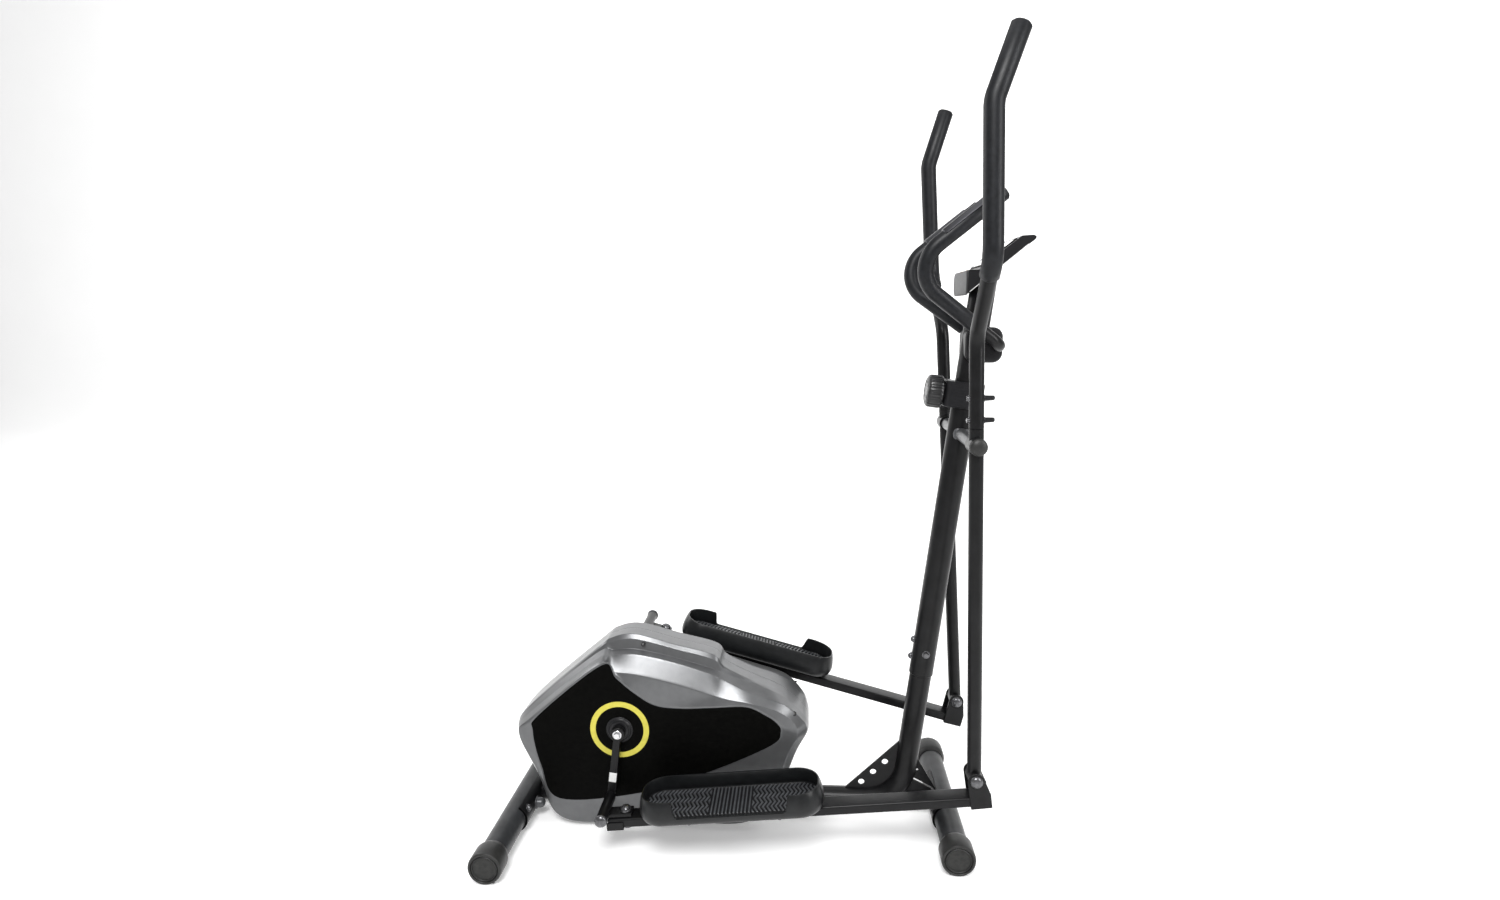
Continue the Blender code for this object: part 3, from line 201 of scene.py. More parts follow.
# Pale grey for the lines along the console's edges and the band on the right crank arm.
PALE_TRIM = material("pale_trim_plastic", (0.62, 0.62, 0.61), 0.38, 0, 0.05, 90, 0.05, ((900, 0.2, 0.0001),))
CAST = material("cast_iron", (0.13, 0.13, 0.14), 0.5, 0.9, 0.2, 60, 0.1, ((350, 0.4, 0.0003),))
SENSOR = material("sensor_metal", (0.085, 0.085, 0.092), 0.3, 1, 0.06, 60, 0.04,
                  ((600, 0.04, 0.0001),))
RUBBER = material("belt_rubber", (0.008, 0.008, 0.008), 0.75, 0, 0.2, 100, 0.08,
                  ((900, 0.4, 0.0002),))
SCREEN = material("lcd_glass", (0.05, 0.06, 0.052), 0.14, 0, 0.06, 30, 0.03, ((60, 0.03, 0.0001),),
                  1)
KEY = material("key_rubber", (0.58, 0.4, 0.04), 0.55, 0, 0.1, 90, 0.06, ((900, 0.3, 0.0001),))


# ------------------------------ shape tools
AXIS_R = 1e-5  # radius of the small end face where a profile reaches the axis
MERGE = 2e-6


def circle(radius, count):
    return [(radius * cos(2 * pi * i / count), radius * sin(2 * pi * i / count))
            for i in range(count)]


def rounded(width, height, corner, steps=6):
    points = []
    for quarter, (sx, sy) in enumerate(((1, 1), (-1, 1), (-1, -1), (1, -1))):
        cx, cy = sx * (width / 2 - corner), sy * (height / 2 - corner)
        for i in range(steps + 1):
            angle = pi / 2 * (quarter + i / steps)
            points.append((cx + corner * cos(angle), cy + corner * sin(angle)))
    return points


def arc(centre, radius, start, end, steps):
    turn = [radians(start + (end - start) * i / steps) for i in range(steps + 1)]
    return [(centre[0] + radius * cos(a), centre[1] + radius * sin(a)) for a in turn]


def fillet(points, radius, steps):
    """The path through points with its corners rounded by arcs."""
    points = [Vector(p) for p in points]
    path = [points[0]]
    for before, corner, after in zip(points, points[1:], points[2:]):
        a, b = (before - corner).normalized(), (after - corner).normalized()
        half = a.angle(b) / 2
        middle = corner + (a + b).normalized() * (radius / sin(half))
        start, end = corner + a * (radius / tan(half)), corner + b * (radius / tan(half))
        for i in range(steps + 1):
            arm = (start - middle).slerp(end - middle, i / steps)
            path.append(middle + arm.normalized() * radius)
    path.append(points[-1])
    return path


def loft(rings, closed=False):
    """Faces through rings of equal length, capped at both ends or joined into a loop."""
    bm = bmesh.new()
    made = [[bm.verts.new(p) for p in ring] for ring in rings]
    count = len(rings[0])
    pairs = list(zip(made, made[1:]))
    if closed:
        pairs.append((made[-1], made[0]))
    for low, high in pairs:
        for i in range(count):
            j = (i + 1) % count
            bm.faces.new((low[i], low[j], high[j], high[i]))
    if not closed:
        bm.faces.new(made[0][::-1])
        bm.faces.new(made[-1])
    return bm


def frames(path):
    """Two axes across the path at each point, turning as little as possible."""
    tangents = []
    for i in range(len(path)):
        before = path[i] - path[i - 1] if i else path[1] - path[0]
        after = path[i + 1] - path[i] if i + 1 < len(path) else before
        tangents.append((before.normalized() + after.normalized()).normalized())
    across = Vector((0, 1, 0))
    if abs(tangents[0].dot(across)) > 0.9:
        across = Vector((0, 0, 1))
    out = []
    for tangent in tangents:
        across = (across - tangent * across.dot(tangent)).normalized()
        out.append((across, tangent.cross(across)))
    return out


def sweep(path, radius, count=48, edge=0.001):
    """Round bar along a path, its end edges eased by edge."""
    path = [Vector(p) for p in path]
    first, last = (path[0] - path[1]).normalized(), (path[-1] - path[-2]).normalized()
    path = [path[0], path[0] - first * edge] + path[1:-1] + [path[-1] - last * edge, path[-1]]
    radii = [radius - edge] + [radius] * (len(path) - 2) + [radius - edge]
    return loft([[point + u_axis * u + v_axis * v for u, v in circle(r, count)] for point,
                 (u_axis, v_axis), r in zip(path, frames(path), radii)])


def turned(profile, origin, axis=(0, 1, 0), count=64):
    """Solid of revolution from (radius, distance along the axis) points."""
    axis = Vector(axis).normalized()
    side = Vector((0, 0, 1)) if abs(axis.z) < 0.9 else Vector((1, 0, 0))
    u_axis = (side - axis * side.dot(axis)).normalized()
    v_axis = axis.cross(u_axis)
    rings = []
    for radius, along in profile:
        centre = Vector(origin) + axis * along
        rings.append(
            [centre + u_axis * u + v_axis * v for u, v in circle(max(radius, AXIS_R), count)])
    return loft(rings, closed=profile[0][0] != 0)


def dome(radius, start, height, steps=10):
    turn = [pi / 2 * i / steps for i in range(steps + 1)]
    return [(radius * cos(a), start + height * sin(a)) for a in turn[:-1]] + [(0, start + height)]


def mirrored(*half):
    """Pairs (value, place) from -place to place, given those of the far half from the outside in."""
    return [(value, -place) for value, place in half] + list(half[::-1])


def sleeve(bore, radius, near, far):
    """Profile of a tube from near to far, with its outer edges eased."""
    ease = 0.0008
    return [(bore, near), (radius - ease, near), (radius, near + ease), (radius, far - ease),
            (radius - ease, far), (bore, far)]


def slab(outline, low, high):
    return loft([[(x, y, z) for x, z in outline] for y in (low, high)])


def block(low, high):
    (x0, y0, z0), (x1, y1, z1) = low, high
    return slab([(x0, z0), (x1, z0), (x1, z1), (x0, z1)], y0, y1)


def merged(*solids):
    """One mesh holding several solids."""
    whole = bmesh.new()
    for solid in solids:
        mesh = bpy.data.meshes.new("part")
        solid.to_mesh(mesh)
        whole.from_mesh(mesh)
        bpy.data.meshes.remove(mesh)
        solid.free()
    return whole


def link(name, data):
    obj = bpy.data.objects.new(name, data)
    bpy.context.scene.collection.objects.link(obj)
    return obj


def solid_object(name, bm):
    """New object in the scene that takes over the mesh of bm."""
    bmesh.ops.recalc_face_normals(bm, faces=bm.faces)
    mesh = bpy.data.meshes.new(name)
    bm.to_mesh(mesh)
    bm.free()
    return link(name, mesh)


def piece(name, bm, mat, nodes=(), body="frame", matrix=None, bevel=0, subdivide=0, sharp=32,
          cut=()):
    """Finished piece riding on a body, in place of the CAD nodes it stands for.

    matrix places bm, and the solids in cut are taken out of it where they stand. Edges over sharp
    degrees stay crisp.
    """
    if matrix is not None:
        bmesh.ops.transform(bm, matrix=matrix, verts=bm.verts)
    bmesh.ops.remove_doubles(bm, verts=bm.verts, dist=MERGE)
    obj = solid_object(name, bm)
    obj.data.materials.append(mat)
    for solid in cut:
        tool = solid_object("cut", solid)
        boolean = obj.modifiers.new("cut", "BOOLEAN")
        boolean.operation = "DIFFERENCE"
        boolean.object = tool
        bpy.context.view_layer.update()
        graph = bpy.context.evaluated_depsgraph_get()
        shaped = bpy.data.meshes.new_from_object(obj.evaluated_get(graph))
        obj.modifiers.clear()
        obj.data = shaped
        bpy.data.objects.remove(tool, do_unlink=True)
    mesh = obj.data
    mesh.shade_smooth()
    mesh.set_sharp_from_angle(angle=radians(sharp))
    if bevel:
        modifier = obj.modifiers.new("bevel", "BEVEL")
        modifier.width = bevel
        modifier.segments = 3
        modifier.limit_method = "ANGLE"
        modifier.angle_limit = radians(30)
        modifier.harden_normals = True
    if subdivide:
        modifier = obj.modifiers.new("smooth", "SUBSURF")
        modifier.levels = modifier.render_levels = subdivide
    if nodes:
        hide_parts(*nodes)
    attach(obj, body)
    return obj


# ------------------------------ camera, light and floor
def camera():
    """Camera on the right of the machine, looking slightly down and to the rear."""
    place = (0.1132, -1.6999, 1.112)
    yaw, pitch, roll = -0.0682, 0.1639, -0.01
    forward = Vector((sin(yaw) * cos(pitch), cos(yaw) * cos(pitch), -sin(pitch)))
    right = Vector((cos(yaw), -sin(yaw), 0))
    up = right.cross(forward)
    right, up = right * cos(roll) + up * sin(roll), up * cos(roll) - right * sin(roll)
    data = bpy.data.cameras.new("camera")
    data.lens, data.sensor_width = 19.51, 36
    data.clip_start = 0.01
    obj = link("camera", data)
    matrix = Matrix((right, up, -forward)).transposed().to_4x4()
    matrix.translation = place
    obj.matrix_world = matrix
    bpy.context.scene.camera = obj


def area_light(name, place, target, size, power, height=None):
    """Square light, or a rectangle of size by height, aimed from place at target."""
    data = bpy.data.lights.new(name, "AREA")
    data.energy = power
    data.size = size
    if height:
        data.shape = "RECTANGLE"
        data.size_y = height
    obj = link(name, data)
    obj.location = place
    obj.rotation_euler = (Vector(target) - Vector(place)).to_track_quat("-Z", "Y").to_euler()


def studio():
    """White floor that curves up into a wall, lit so that both come out as plain white."""
    white = (1, 1, 1, 1)
    world = bpy.data.worlds.new("studio")
    bpy.context.scene.world = world
    world.use_nodes = True
    fill(world.node_tree.nodes["Background"], {"Color": white, "Strength": 0.42})
    bpy.context.scene.view_settings.view_transform = "Standard"
    area_light("key", (-0.2, -2.4, 3.1), (-0.1, 0, 0.4), 1.2, 120)
    area_light("front", (2.6, -1.5, 1.9), (0.2, 0, 0.7), 0.7, 50, 2.2)
    area_light("back", (-2.6, 1.2, 2), (0, 0, 0.6), 0.7, 26, 2)
    area_light("top", (0.2, 0.2, 3.4), (0, 0, 0), 2.2, 14)
    area_light("backdrop", (0, 2.6, 4.9), (0, 7, 1.6), 8, 460, 2)
    bm = bmesh.new()
    reach, corner, height, half_width, steps = 7, 1.2, 5, 9, 16
    line = [(-reach, 0), (reach - corner, 0)]
    line += [(reach - corner + corner * sin(a), corner - corner * cos(a))
             for a in (pi / 2 * i / steps for i in range(1, steps + 1))] + [(reach, height)]
    rows = [[bm.verts.new((x, y, z)) for y, z in line] for x in (-half_width, half_width)]
    for i in range(len(line) - 1):
        bm.faces.new((rows[0][i], rows[1][i], rows[1][i + 1], rows[0][i + 1]))
    mesh = bpy.data.meshes.new("floor")
    bm.to_mesh(mesh)
    bm.free()
    mesh.shade_smooth()
    floor = link("floor", mesh)
    paint = material("floor_paint", (0.9, 0.9, 0.9), 0.55, 0, 0.01, 3, 0.03,
                     ((200, 0.03, 0.0002),))
    fill(paint.node_tree.nodes["Principled BSDF"],
         {"Emission Color": white, "Emission Strength": 0.24})
    mesh.materials.append(paint)


# ------------------------------ base
def stabilisers():
    for end in ("front", "rear"):
        low, high = (Vector(p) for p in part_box(end + "_stabilizer"))
        x, z = (low.x + high.x) / 2, (low.z + high.z) / 2
        tube = sweep([(x, low.y, z), (x, 0, z), (x, high.y, z)], FLOOR_TUBE_R, 64)
        piece(end + "_floor_tube", tube, FLOOR_COAT, [end + "_stabilizer"])
        for name, side in SIDES.items():
            low, high = (Vector(p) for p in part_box(f"{end}_cap_{name}"))
            face = Vector((x, high.y if side > 0 else low.y, z))
            inward = (0, -side, 0)
            reach = high.y - low.y
            cup = [(0.0279, reach), (0.029, reach), (0.0297, reach - 0.0008), (0.0338, 0.0418),
                   (0.0345, 0.0396), (0.0345, 0.005), (0.034, 0.0024), (0.0328, 0.0006),
                   (0.0312, 0), (0.0292, 0.0004), (0.0284, 0.0014), (0.0279, 0.004)]
            piece(f"{end}_end_cap_{name}", turned(cup, face, inward, 72), CAP,
                  [f"{end}_cap_{name}"], sharp=22)
            disc = [(0, 0.0026), (0.0228, 0.0026), (0.0283, 0.0036), (0.0283, 0.006), (0, 0.006)]
            piece(f"{end}_cap_disc_{name}", turned(disc, face, inward, 72), CAP_FACE, sharp=50)
            bead = [(0.0238, 0.003), (0.0241, 0.0014), (0.0254, 0.0006), (0.0267, 0.0014),
                    (0.027, 0.0036)]
            piece(f"{end}_cap_ring_{name}", turned(bead, face, inward, 72), CAP, sharp=60)
            near, far = sorted((face.y - side * 0.006, face.y - side * (reach - 0.006)))
            pad = block((x - 0.017, near, 0), (x + 0.017, far, 0.0055))
            piece(f"{end}_foot_pad_{name}", pad, CAP_FACE, bevel=0.0012)


def bolt_head(name, at, axis, radius, height, body="frame", mat=DARK_STEEL, flats=False):
    """Domed bolt head on a washer, or a hexagon nut on a washer."""
    rim, start, chamfer = radius * 1.35, radius * 0.2, radius * 1.03
    washer = turned([(0, 0), (rim, 0), (rim, radius * 0.16), (radius * 1.28, radius * 0.22),
                     (0, radius * 0.22)], at, axis, 40)
    if flats:
        nut = turned([(0, start), (radius, start), (chamfer, height * 0.35),
                      (chamfer, height * 0.75), (radius * 0.86, height), (0, height)], at, axis, 6)
    else:
        nut = turned([(0, start)] + dome(radius, radius * 0.3, height - radius * 0.3), at, axis,
                     40)
    piece(name, merged(washer, nut), mat, body=body, sharp=25 if flats else 40)


def main_frame_skin():
    """Fine surfaces over the welded frame's tubes, and the bolts of the stabilisers."""
    path = fillet([mast_at(0.4495), mast_at(BASE_Z), (-0.4875, 0, BASE_Z)], 0.09, 24)
    piece("base_tube", sweep(path, STUB_R + 0.0002, 64), POWDER)
    spread, bolt_up = 62, radians(28)  # half the saddle's arc, and how far up its bolts point
    for name, x, way, half in (("front", FRONT_TUBE_X, -1, 0.075),
                               ("rear", REAR_TUBE_X, 1, 0.122)):
        middle = 0 if way > 0 else 180
        hug = arc((x, FLOOR_TUBE_Z), 0.0279, middle - spread, middle + spread, 40)
        hug += arc((x, FLOOR_TUBE_Z), 0.0322, middle + spread, middle - spread, 40)
        piece(name + "_saddle", slab(hug, -half, half), POWDER, bevel=0.001)
        for side_name, side in SIDES.items():
            centre = Vector((x, side * (half - 0.02), FLOOR_TUBE_Z))
            out = Vector((way * cos(bolt_up), 0, sin(bolt_up)))
            bolt_head(f"{name}_saddle_bolt_{side_name}", centre + out * 0.0312, out, 0.0065,
                      0.0075)
    for side_name, side in SIDES.items():
        nut = [(0, 0), (0.0135, 0), (0.0135, 0.0018), (0.011, 0.0024), (0.011, 0.01)]
        nut += dome(0.0108, 0.0104, 0.0096, 12)
        piece("saddle_cap_nut_" + side_name, turned(
            nut, (-0.4885, side * 0.058, FLOOR_TUBE_Z), (1, 0, 0), 56), AXLE_PAINT, sharp=50)
    for i, (x, z) in enumerate(((0.293, 0.123), (0.267, 0.098), (0.241, 0.073))):
        ring = [(0.0071, -0.0023), (0.0085, -0.0023), (0.0085, 0.0023), (0.0071, 0.0023)]
        piece(f"gusset_hole_rim_{i + 1}", turned(ring, (x, 0, z), (0, 1, 0), 40), POWDER,
              bevel=0.0004)


def upper_mast():
    foot, top = mast_at(0.335), mast_at(1.225)
    here = Matrix.Translation(CONSOLE_FOOT) @ Matrix.Rotation(-radians(39.2), 4, "Y")
    above = block((-0.03, -0.06, -0.0003), (0.22, 0.06, 0.1))
    bmesh.ops.transform(above, matrix=here, verts=above.verts)
    up = (top - foot).normalized()
    window = sweep([mast_at(CONTROL_Z), mast_at(CONTROL_Z) - Vector((0.06, 0, -0.0075))], 0.0073,
                   32)
    piece("mast_tube", sweep([foot, foot + up * 0.01, top], MAST_R, 72, 0.0015), POWDER,
          ["upper_mast"], cut=[above, window])
    plate = block((0.0005, -0.032, -0.0045), (0.094, 0.032, -0.0003))
    piece("console_plate", plate, POWDER, matrix=here, bevel=0.0008)
    inner, outer = ARM_Y - 0.0239, ARM_Y + 0.0215
    for name, side in SIDES.items():
        tube = [(0, 0.02), (0.013, 0.02), (0.013, ARM_Y - 0.025), (0.0122, inner), (0.008, inner),
                (0.0078, outer), (0, outer)]
        piece("pivot_axle_" + name, turned(tube, PIVOT, (0, side, 0), 56), AXLE_PAINT)
        weld = [(0.0129, 0.025), (0.0158, 0.0235), (0.017, 0.0215), (0.015, 0.019), (0.0129, 0.02)]
        piece("pivot_weld_" + name, turned(weld, PIVOT, (0, side, 0), 56), AXLE_PAINT, sharp=80)
    out = Vector((cos(MAST_ANGLE), 0, -sin(MAST_ANGLE)))
    for i, z in enumerate((0.372, 0.41)):
        at = mast_at(z) - out * (MAST_R - 0.0008)
        bolt_head(f"mast_bolt_rear_{i + 1}", at, -out, 0.0068, 0.0085)
    for name, side in SIDES.items():
        at = mast_at(0.388) + Vector((0, side * (MAST_R - 0.0008), 0))
        bolt_head("mast_bolt_" + name, at, (0, side, 0), 0.0062, 0.008, flats=True)


# ------------------------------ fixed handlebar
HANDLE_CROSS = Vector((0.4962, 0, 1.048))


def handle_points(side):
    """Elbow by the mast, rear corner and tip of one half of the fixed handlebar."""
    return (Vector((HANDLE_CROSS.x, side * 0.07, HANDLE_CROSS.z)),
            Vector((0.303, side * 0.113, 1.194)), Vector((0.482, side * 0.113, 1.334)))


def handle_side(side, start, end):
    """One half's curve, from a share of the way to the corner to a share of the way to the tip."""
    elbow, corner, tip = handle_points(side)
    return fillet([elbow.lerp(corner, start), corner, corner.lerp(tip, end)], 0.06, 20)


def fixed_handlebar():
    halves = []
    for side in SIDES.values():
        leg = handle_side(side, 0.3, 0.985)
        halves.append(fillet([HANDLE_CROSS, handle_points(side)[0], leg[0]], 0.03, 10)[1:-1] + leg)
    right, left = halves
    piece("fixed_bar", sweep(right[::-1] + left, 0.0125), POWDER, ["fixed_handlebar"])
    for name, side in SIDES.items():
        grip = sweep(handle_side(side, 0.22, 1.004), 0.0152, 48, 0.0035)
        piece("fixed_foam_" + name, grip, FOAM, ["fixed_grip_" + name], sharp=60)
        corner, tip = handle_points(side)[1:]
        rings = []
        start, end = corner.lerp(tip, 0.42), corner.lerp(tip, 0.88)
        up = (end - start).normalized().cross(Vector((0, 1, 0)))
        for t, lift in ((0, 0.0003), (0.012, 0.0014), (0.03, 0.0019), (0.5, 0.0019),
                        (0.97, 0.0019), (0.988, 0.0014), (1, 0.0003)):
            at = start.lerp(end, t)
            ring = []
            for radius, angles in ((0.0155 + lift, range(25, 156, 10)),
                                   (0.0153, range(155, 24, -10))):
                for angle in angles:
                    a = radians(angle)
                    ring.append(at + Vector((0, 1, 0)) * radius * cos(a) + up * radius * sin(a))
            rings.append(ring)
        piece("pulse_plate_" + name, loft(rings), SENSOR, ["pulse_sensor_" + name], sharp=45)
    rings = []
    for shrink, y in mirrored((0.01, 0.036), (0.0055, 0.036), (0.0022, 0.035), (0, 0.0315),
                              (0, 0.0012), (0.0012, 0.0003)):
        outline = rounded(0.074 - 2 * shrink, 0.071 - 2 * shrink, 0.02 - shrink * 0.6, 10)
        rings.append([(x + 0.471, y, z + 1.049) for x, z in outline])
    piece("clamp_cover", loft(rings), BLACK, ["handlebar_clamp"])


# ------------------------------ tension control
def tension_control():
    here = Matrix.Translation(mast_at(CONTROL_Z)) @ Matrix.Rotation(MAST_ANGLE, 4, "Y")
    rings = []
    for shrink, z in mirrored((0.004, 0.027), (0.0015, 0.0265), (0, 0.0245)):
        outline = rounded(0.079 - 2 * shrink, 0.06 - 2 * shrink, 0.01 - shrink, 8)
        rings.append([(x - 0.0075, y, z) for x, y in outline])
    piece("tension_housing", loft(rings), BLACK, ["tension_box"], matrix=here)
    for i in range(7):
        z = -0.018 + 0.006 * i
        for name, side in SIDES.items():
            y = side * 0.0296
            rib = block((-0.034, y - 0.0006, z - 0.0008), (0.006, y + 0.001, z + 0.0008))
            piece(f"housing_rib_{name}_{i + 1}", rib, BLACK, matrix=here, bevel=0.0004)
    lobes, per = 24, 6  # grip waves round the knob, and points on each
    rings = []
    for along, radius, depth in (
            (0.049, 0.029, 0), (0.05, 0.0315, 0.0006), (0.052, 0.0334, 0.001),
            (0.056, 0.0342, 0.0012), (0.074, 0.0338, 0.0012), (0.0775, 0.0328, 0.0008),
            (0.08, 0.0305, 0.0002), (0.0812, 0.0275, 0), (0.0815, 0.0255, 0)):
        ring = []
        for i in range(lobes * per):
            angle = 2 * pi * i / (lobes * per)
            reach = radius - depth * (0.5 + 0.5 * cos(lobes * angle)) ** 2
            ring.append((-along, reach * cos(angle), reach * sin(angle)))
        rings.append(ring)
    piece("tension_grip", loft(rings), GLOSS, ["tension_knob"], body="knob", matrix=here, sharp=60)
    band = [(0.0256, 0.08), (0.0262, 0.0814), (0.0246, 0.0822), (0.0232, 0.0816), (0.023, 0.08)]
    piece("knob_band", turned(band, (0, 0, 0), (-1, 0, 0), 72), BLACK, body="knob", matrix=here,
          sharp=50)
    marks, sweep_angle = 8, 270
    for i in range(marks):
        angle = radians(-sweep_angle / 2 + sweep_angle * i / (marks - 1))
        foot = 0.0165 - 0.0022 * (i in (0, marks - 1))
        mark = block((-0.0821, -0.0006, foot), (-0.0812, 0.0006, 0.0212))
        piece(f"knob_mark_{i + 1}", mark, LIGHT, body="knob", matrix=here @ Matrix.Rotation(
            angle, 4, "X"))


# ------------------------------ console
def console():
    half = 0.073
    back = slab([(0.43, 1.1515), (0.5395, 1.2408), (0.552, 1.25), (0.5545, 1.255), (0.5495, 1.259),
                 (0.527, 1.258), (0.448, 1.1952), (0.4286, 1.1952), (0.4286, 1.1515)], -half, half)
    piece("console_housing", back, BLACK, ["console_back"], bevel=0.003)
    for name, side in SIDES.items():
        line = slab([(0.431, 1.1541), (0.5392, 1.2423), (0.54, 1.2413), (0.4318, 1.1531)],
                    side * (half - 0.001), side * (half + 0.0006))
        piece("console_seam_" + name, line, PALE_TRIM)
    outline = rounded(2 * (half - 0.002), 0.047, 0.015, 8)
    rings = []
    for shrink, x in ((0, 0.4284), (0, 0.4266), (0.0006, 0.4258), (0.0022, 0.4251),
                      (0.006, 0.425)):
        scale_y, scale_z = 1 - shrink / half, 1 - shrink / 0.0235
        rings.append([(x, y * scale_y, 1.1705 + z * scale_z) for y, z in outline])
    piece("console_fascia", loft(rings), LIGHT, ["console_front"])
    face = Matrix.Translation((0.448, 0, 1.1952)) @ Matrix.Rotation(-radians(38.5), 4, "Y")
    screen = block((0.0145, -0.0555, 0.0003), (0.0915, 0.0555, 0.002))
    piece("console_window", screen, SCREEN, ["console_screen"], matrix=face, bevel=0.0006)
    rim = [(0.0125, -0.058), (0.094, -0.058), (0.094, 0.058), (0.0125, 0.058)]
    inner = [(0.015, -0.055), (0.091, -0.055), (0.091, 0.055), (0.015, 0.055)]
    bezel = loft([[(x, y, z) for x, y in line] for line, z in (
        (rim, 0.0002), (rim, 0.0026), (inner, 0.0026), (inner, 0.0002))], closed=True)
    piece("console_bezel", bezel, GLOSS, matrix=face, bevel=0.0005)
    for name, side in SIDES.items():
        low, high = (Vector(p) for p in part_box("console_key_" + name))
        at = ((low.x + high.x) / 2, (low.y + high.y) / 2, low.z)
        radius, height = 0.007, high.z - low.z
        profile = [(0, 0), (
            radius, 0), (radius, height * 0.7)] + dome(radius, height * 0.7, height * 0.3, 6)
        key = turned(profile, at, (0, 0, 1), 40)
        piece("console_button_" + name, key, KEY, ["console_key_" + name], body="key_" + name)


# ------------------------------ shell
HUMP_LINE = [(-0.523, 0.205), (-0.5, 0.258), (-0.345, 0.392), (-0.306, 0.42), (-0.255, 0.428),
             (-0.17, 0.406), (-0.085, 0.384), (-0.06, 0.356), (0, 0.326), (0.06, 0.3), (0.105, 0.262),
             (0.123, 0.225), (0.1, 0.18), (0.015, 0.026), (-0.2, 0.02), (-0.425, 0.014), (-0.484, 0.11)]
STEP_LINE = [(-0.521, 0.207), (-0.498, 0.256), (-0.342, 0.386), (-0.3, 0.396), (-0.25, 0.398),
             (-0.17, 0.381), (-0.09, 0.358), (-0.062, 0.347), (0, 0.324), (0.06, 0.3), (0.105, 0.262),
             (0.122, 0.226), (0.1, 0.182), (0.014, 0.026), (-0.2, 0.02), (-0.425, 0.014), (-0.483, 0.11)]
CREASE_LINE = [(-0.516, 0.211), (-0.492, 0.253), (-0.338, 0.38), (-0.298, 0.391), (-0.25, 0.395),
               (-0.17, 0.379), (-0.09, 0.354), (-0.062, 0.341), (0, 0.3165), (0.066, 0.294),
               (0.103, 0.262), (0.119, 0.23), (0.098, 0.185), (0.012, 0.026), (-0.2, 0.02),
               (-0.42, 0.013), (-0.479, 0.112)]
FACET_LINE = [(-0.508, 0.216), (-0.48, 0.256), (-0.33, 0.382), (-0.3, 0.366), (-0.24, 0.358),
              (-0.16, 0.339), (-0.09, 0.318), (-0.055, 0.309), (0, 0.301), (0.052, 0.285),
              (0.086, 0.262), (0.1, 0.232), (0.08, 0.19), (0.006, 0.03), (-0.2, 0.023),
              (-0.415, 0.017), (-0.468, 0.125)]
FACE_LINE = [(-0.478, 0.228), (-0.463, 0.268), (-0.318, 0.386), (-0.284, 0.355), (-0.25, 0.325),
             (-0.205, 0.297), (-0.15, 0.291), (-0.085, 0.294), (-0.01, 0.2975), (0.033, 0.279),
             (0.0575, 0.2615), (0.067, 0.2405), (0.045, 0.206), (-0.087, 0.142), (-0.24, 0.087),
             (-0.423, 0.068), (-0.463, 0.148)]
RIM_Y, TOP_Y, EDGE_Y, STEP_Y = 0.00015, 0.034, 0.0405, 0.0455
CREASE_Y, FACET_Y, SIDE_Y = 0.066, 0.089, 0.0955
CREASE_BULGE = {8: 0.077, 9: 0.078, 10: 0.072, 11: 0.065, 12: 0.064}
FACET_BULGE = {7: 0.0905, 8: 0.0935, 9: 0.0912}


def smooth(line, y, bulge=None):
    """Curve through (x, z) points at a depth y, except where bulge gives a point its own depth."""
    points = [Vector((x, (bulge or {}).get(i, y), z)) for i, (x, z) in enumerate(line)]
    count, steps = len(points), 8
    out = []
    for i in range(count):
        a, b, c, d = (points[(i + k) % count] for k in (-1, 0, 1, 2))
        for step in range(steps):
            t = step / steps
            out.append(0.5 * (2 * b + (c - a) * t + (2 * a - 5 * b + 4 * c - d) * t * t
                              + (3 * b - 3 * c + d - a) * t ** 3))
    return out


def inset(points, depth, y=None):
    """The closed line moved inwards by depth in the xz plane, and to y if that is given."""
    out = []
    for i, p in enumerate(points):
        tangent = points[(i + 1) % len(points)] - points[i - 1]
        moved = p + Vector((tangent.z, 0, -tangent.x)).normalized() * depth
        out.append(Vector((moved.x, moved.y if y is None else y, moved.z)))
    return out


def hub_ring(points, radius, y):
    """The points drawn in to a circle round the crank axle."""
    middle = Vector((CRANK.x, 0, CRANK.z))
    return [middle + Vector((p.x - CRANK.x, 0, p.z - CRANK.z)).normalized() * radius
            + Vector((0, y, 0)) for p in points]


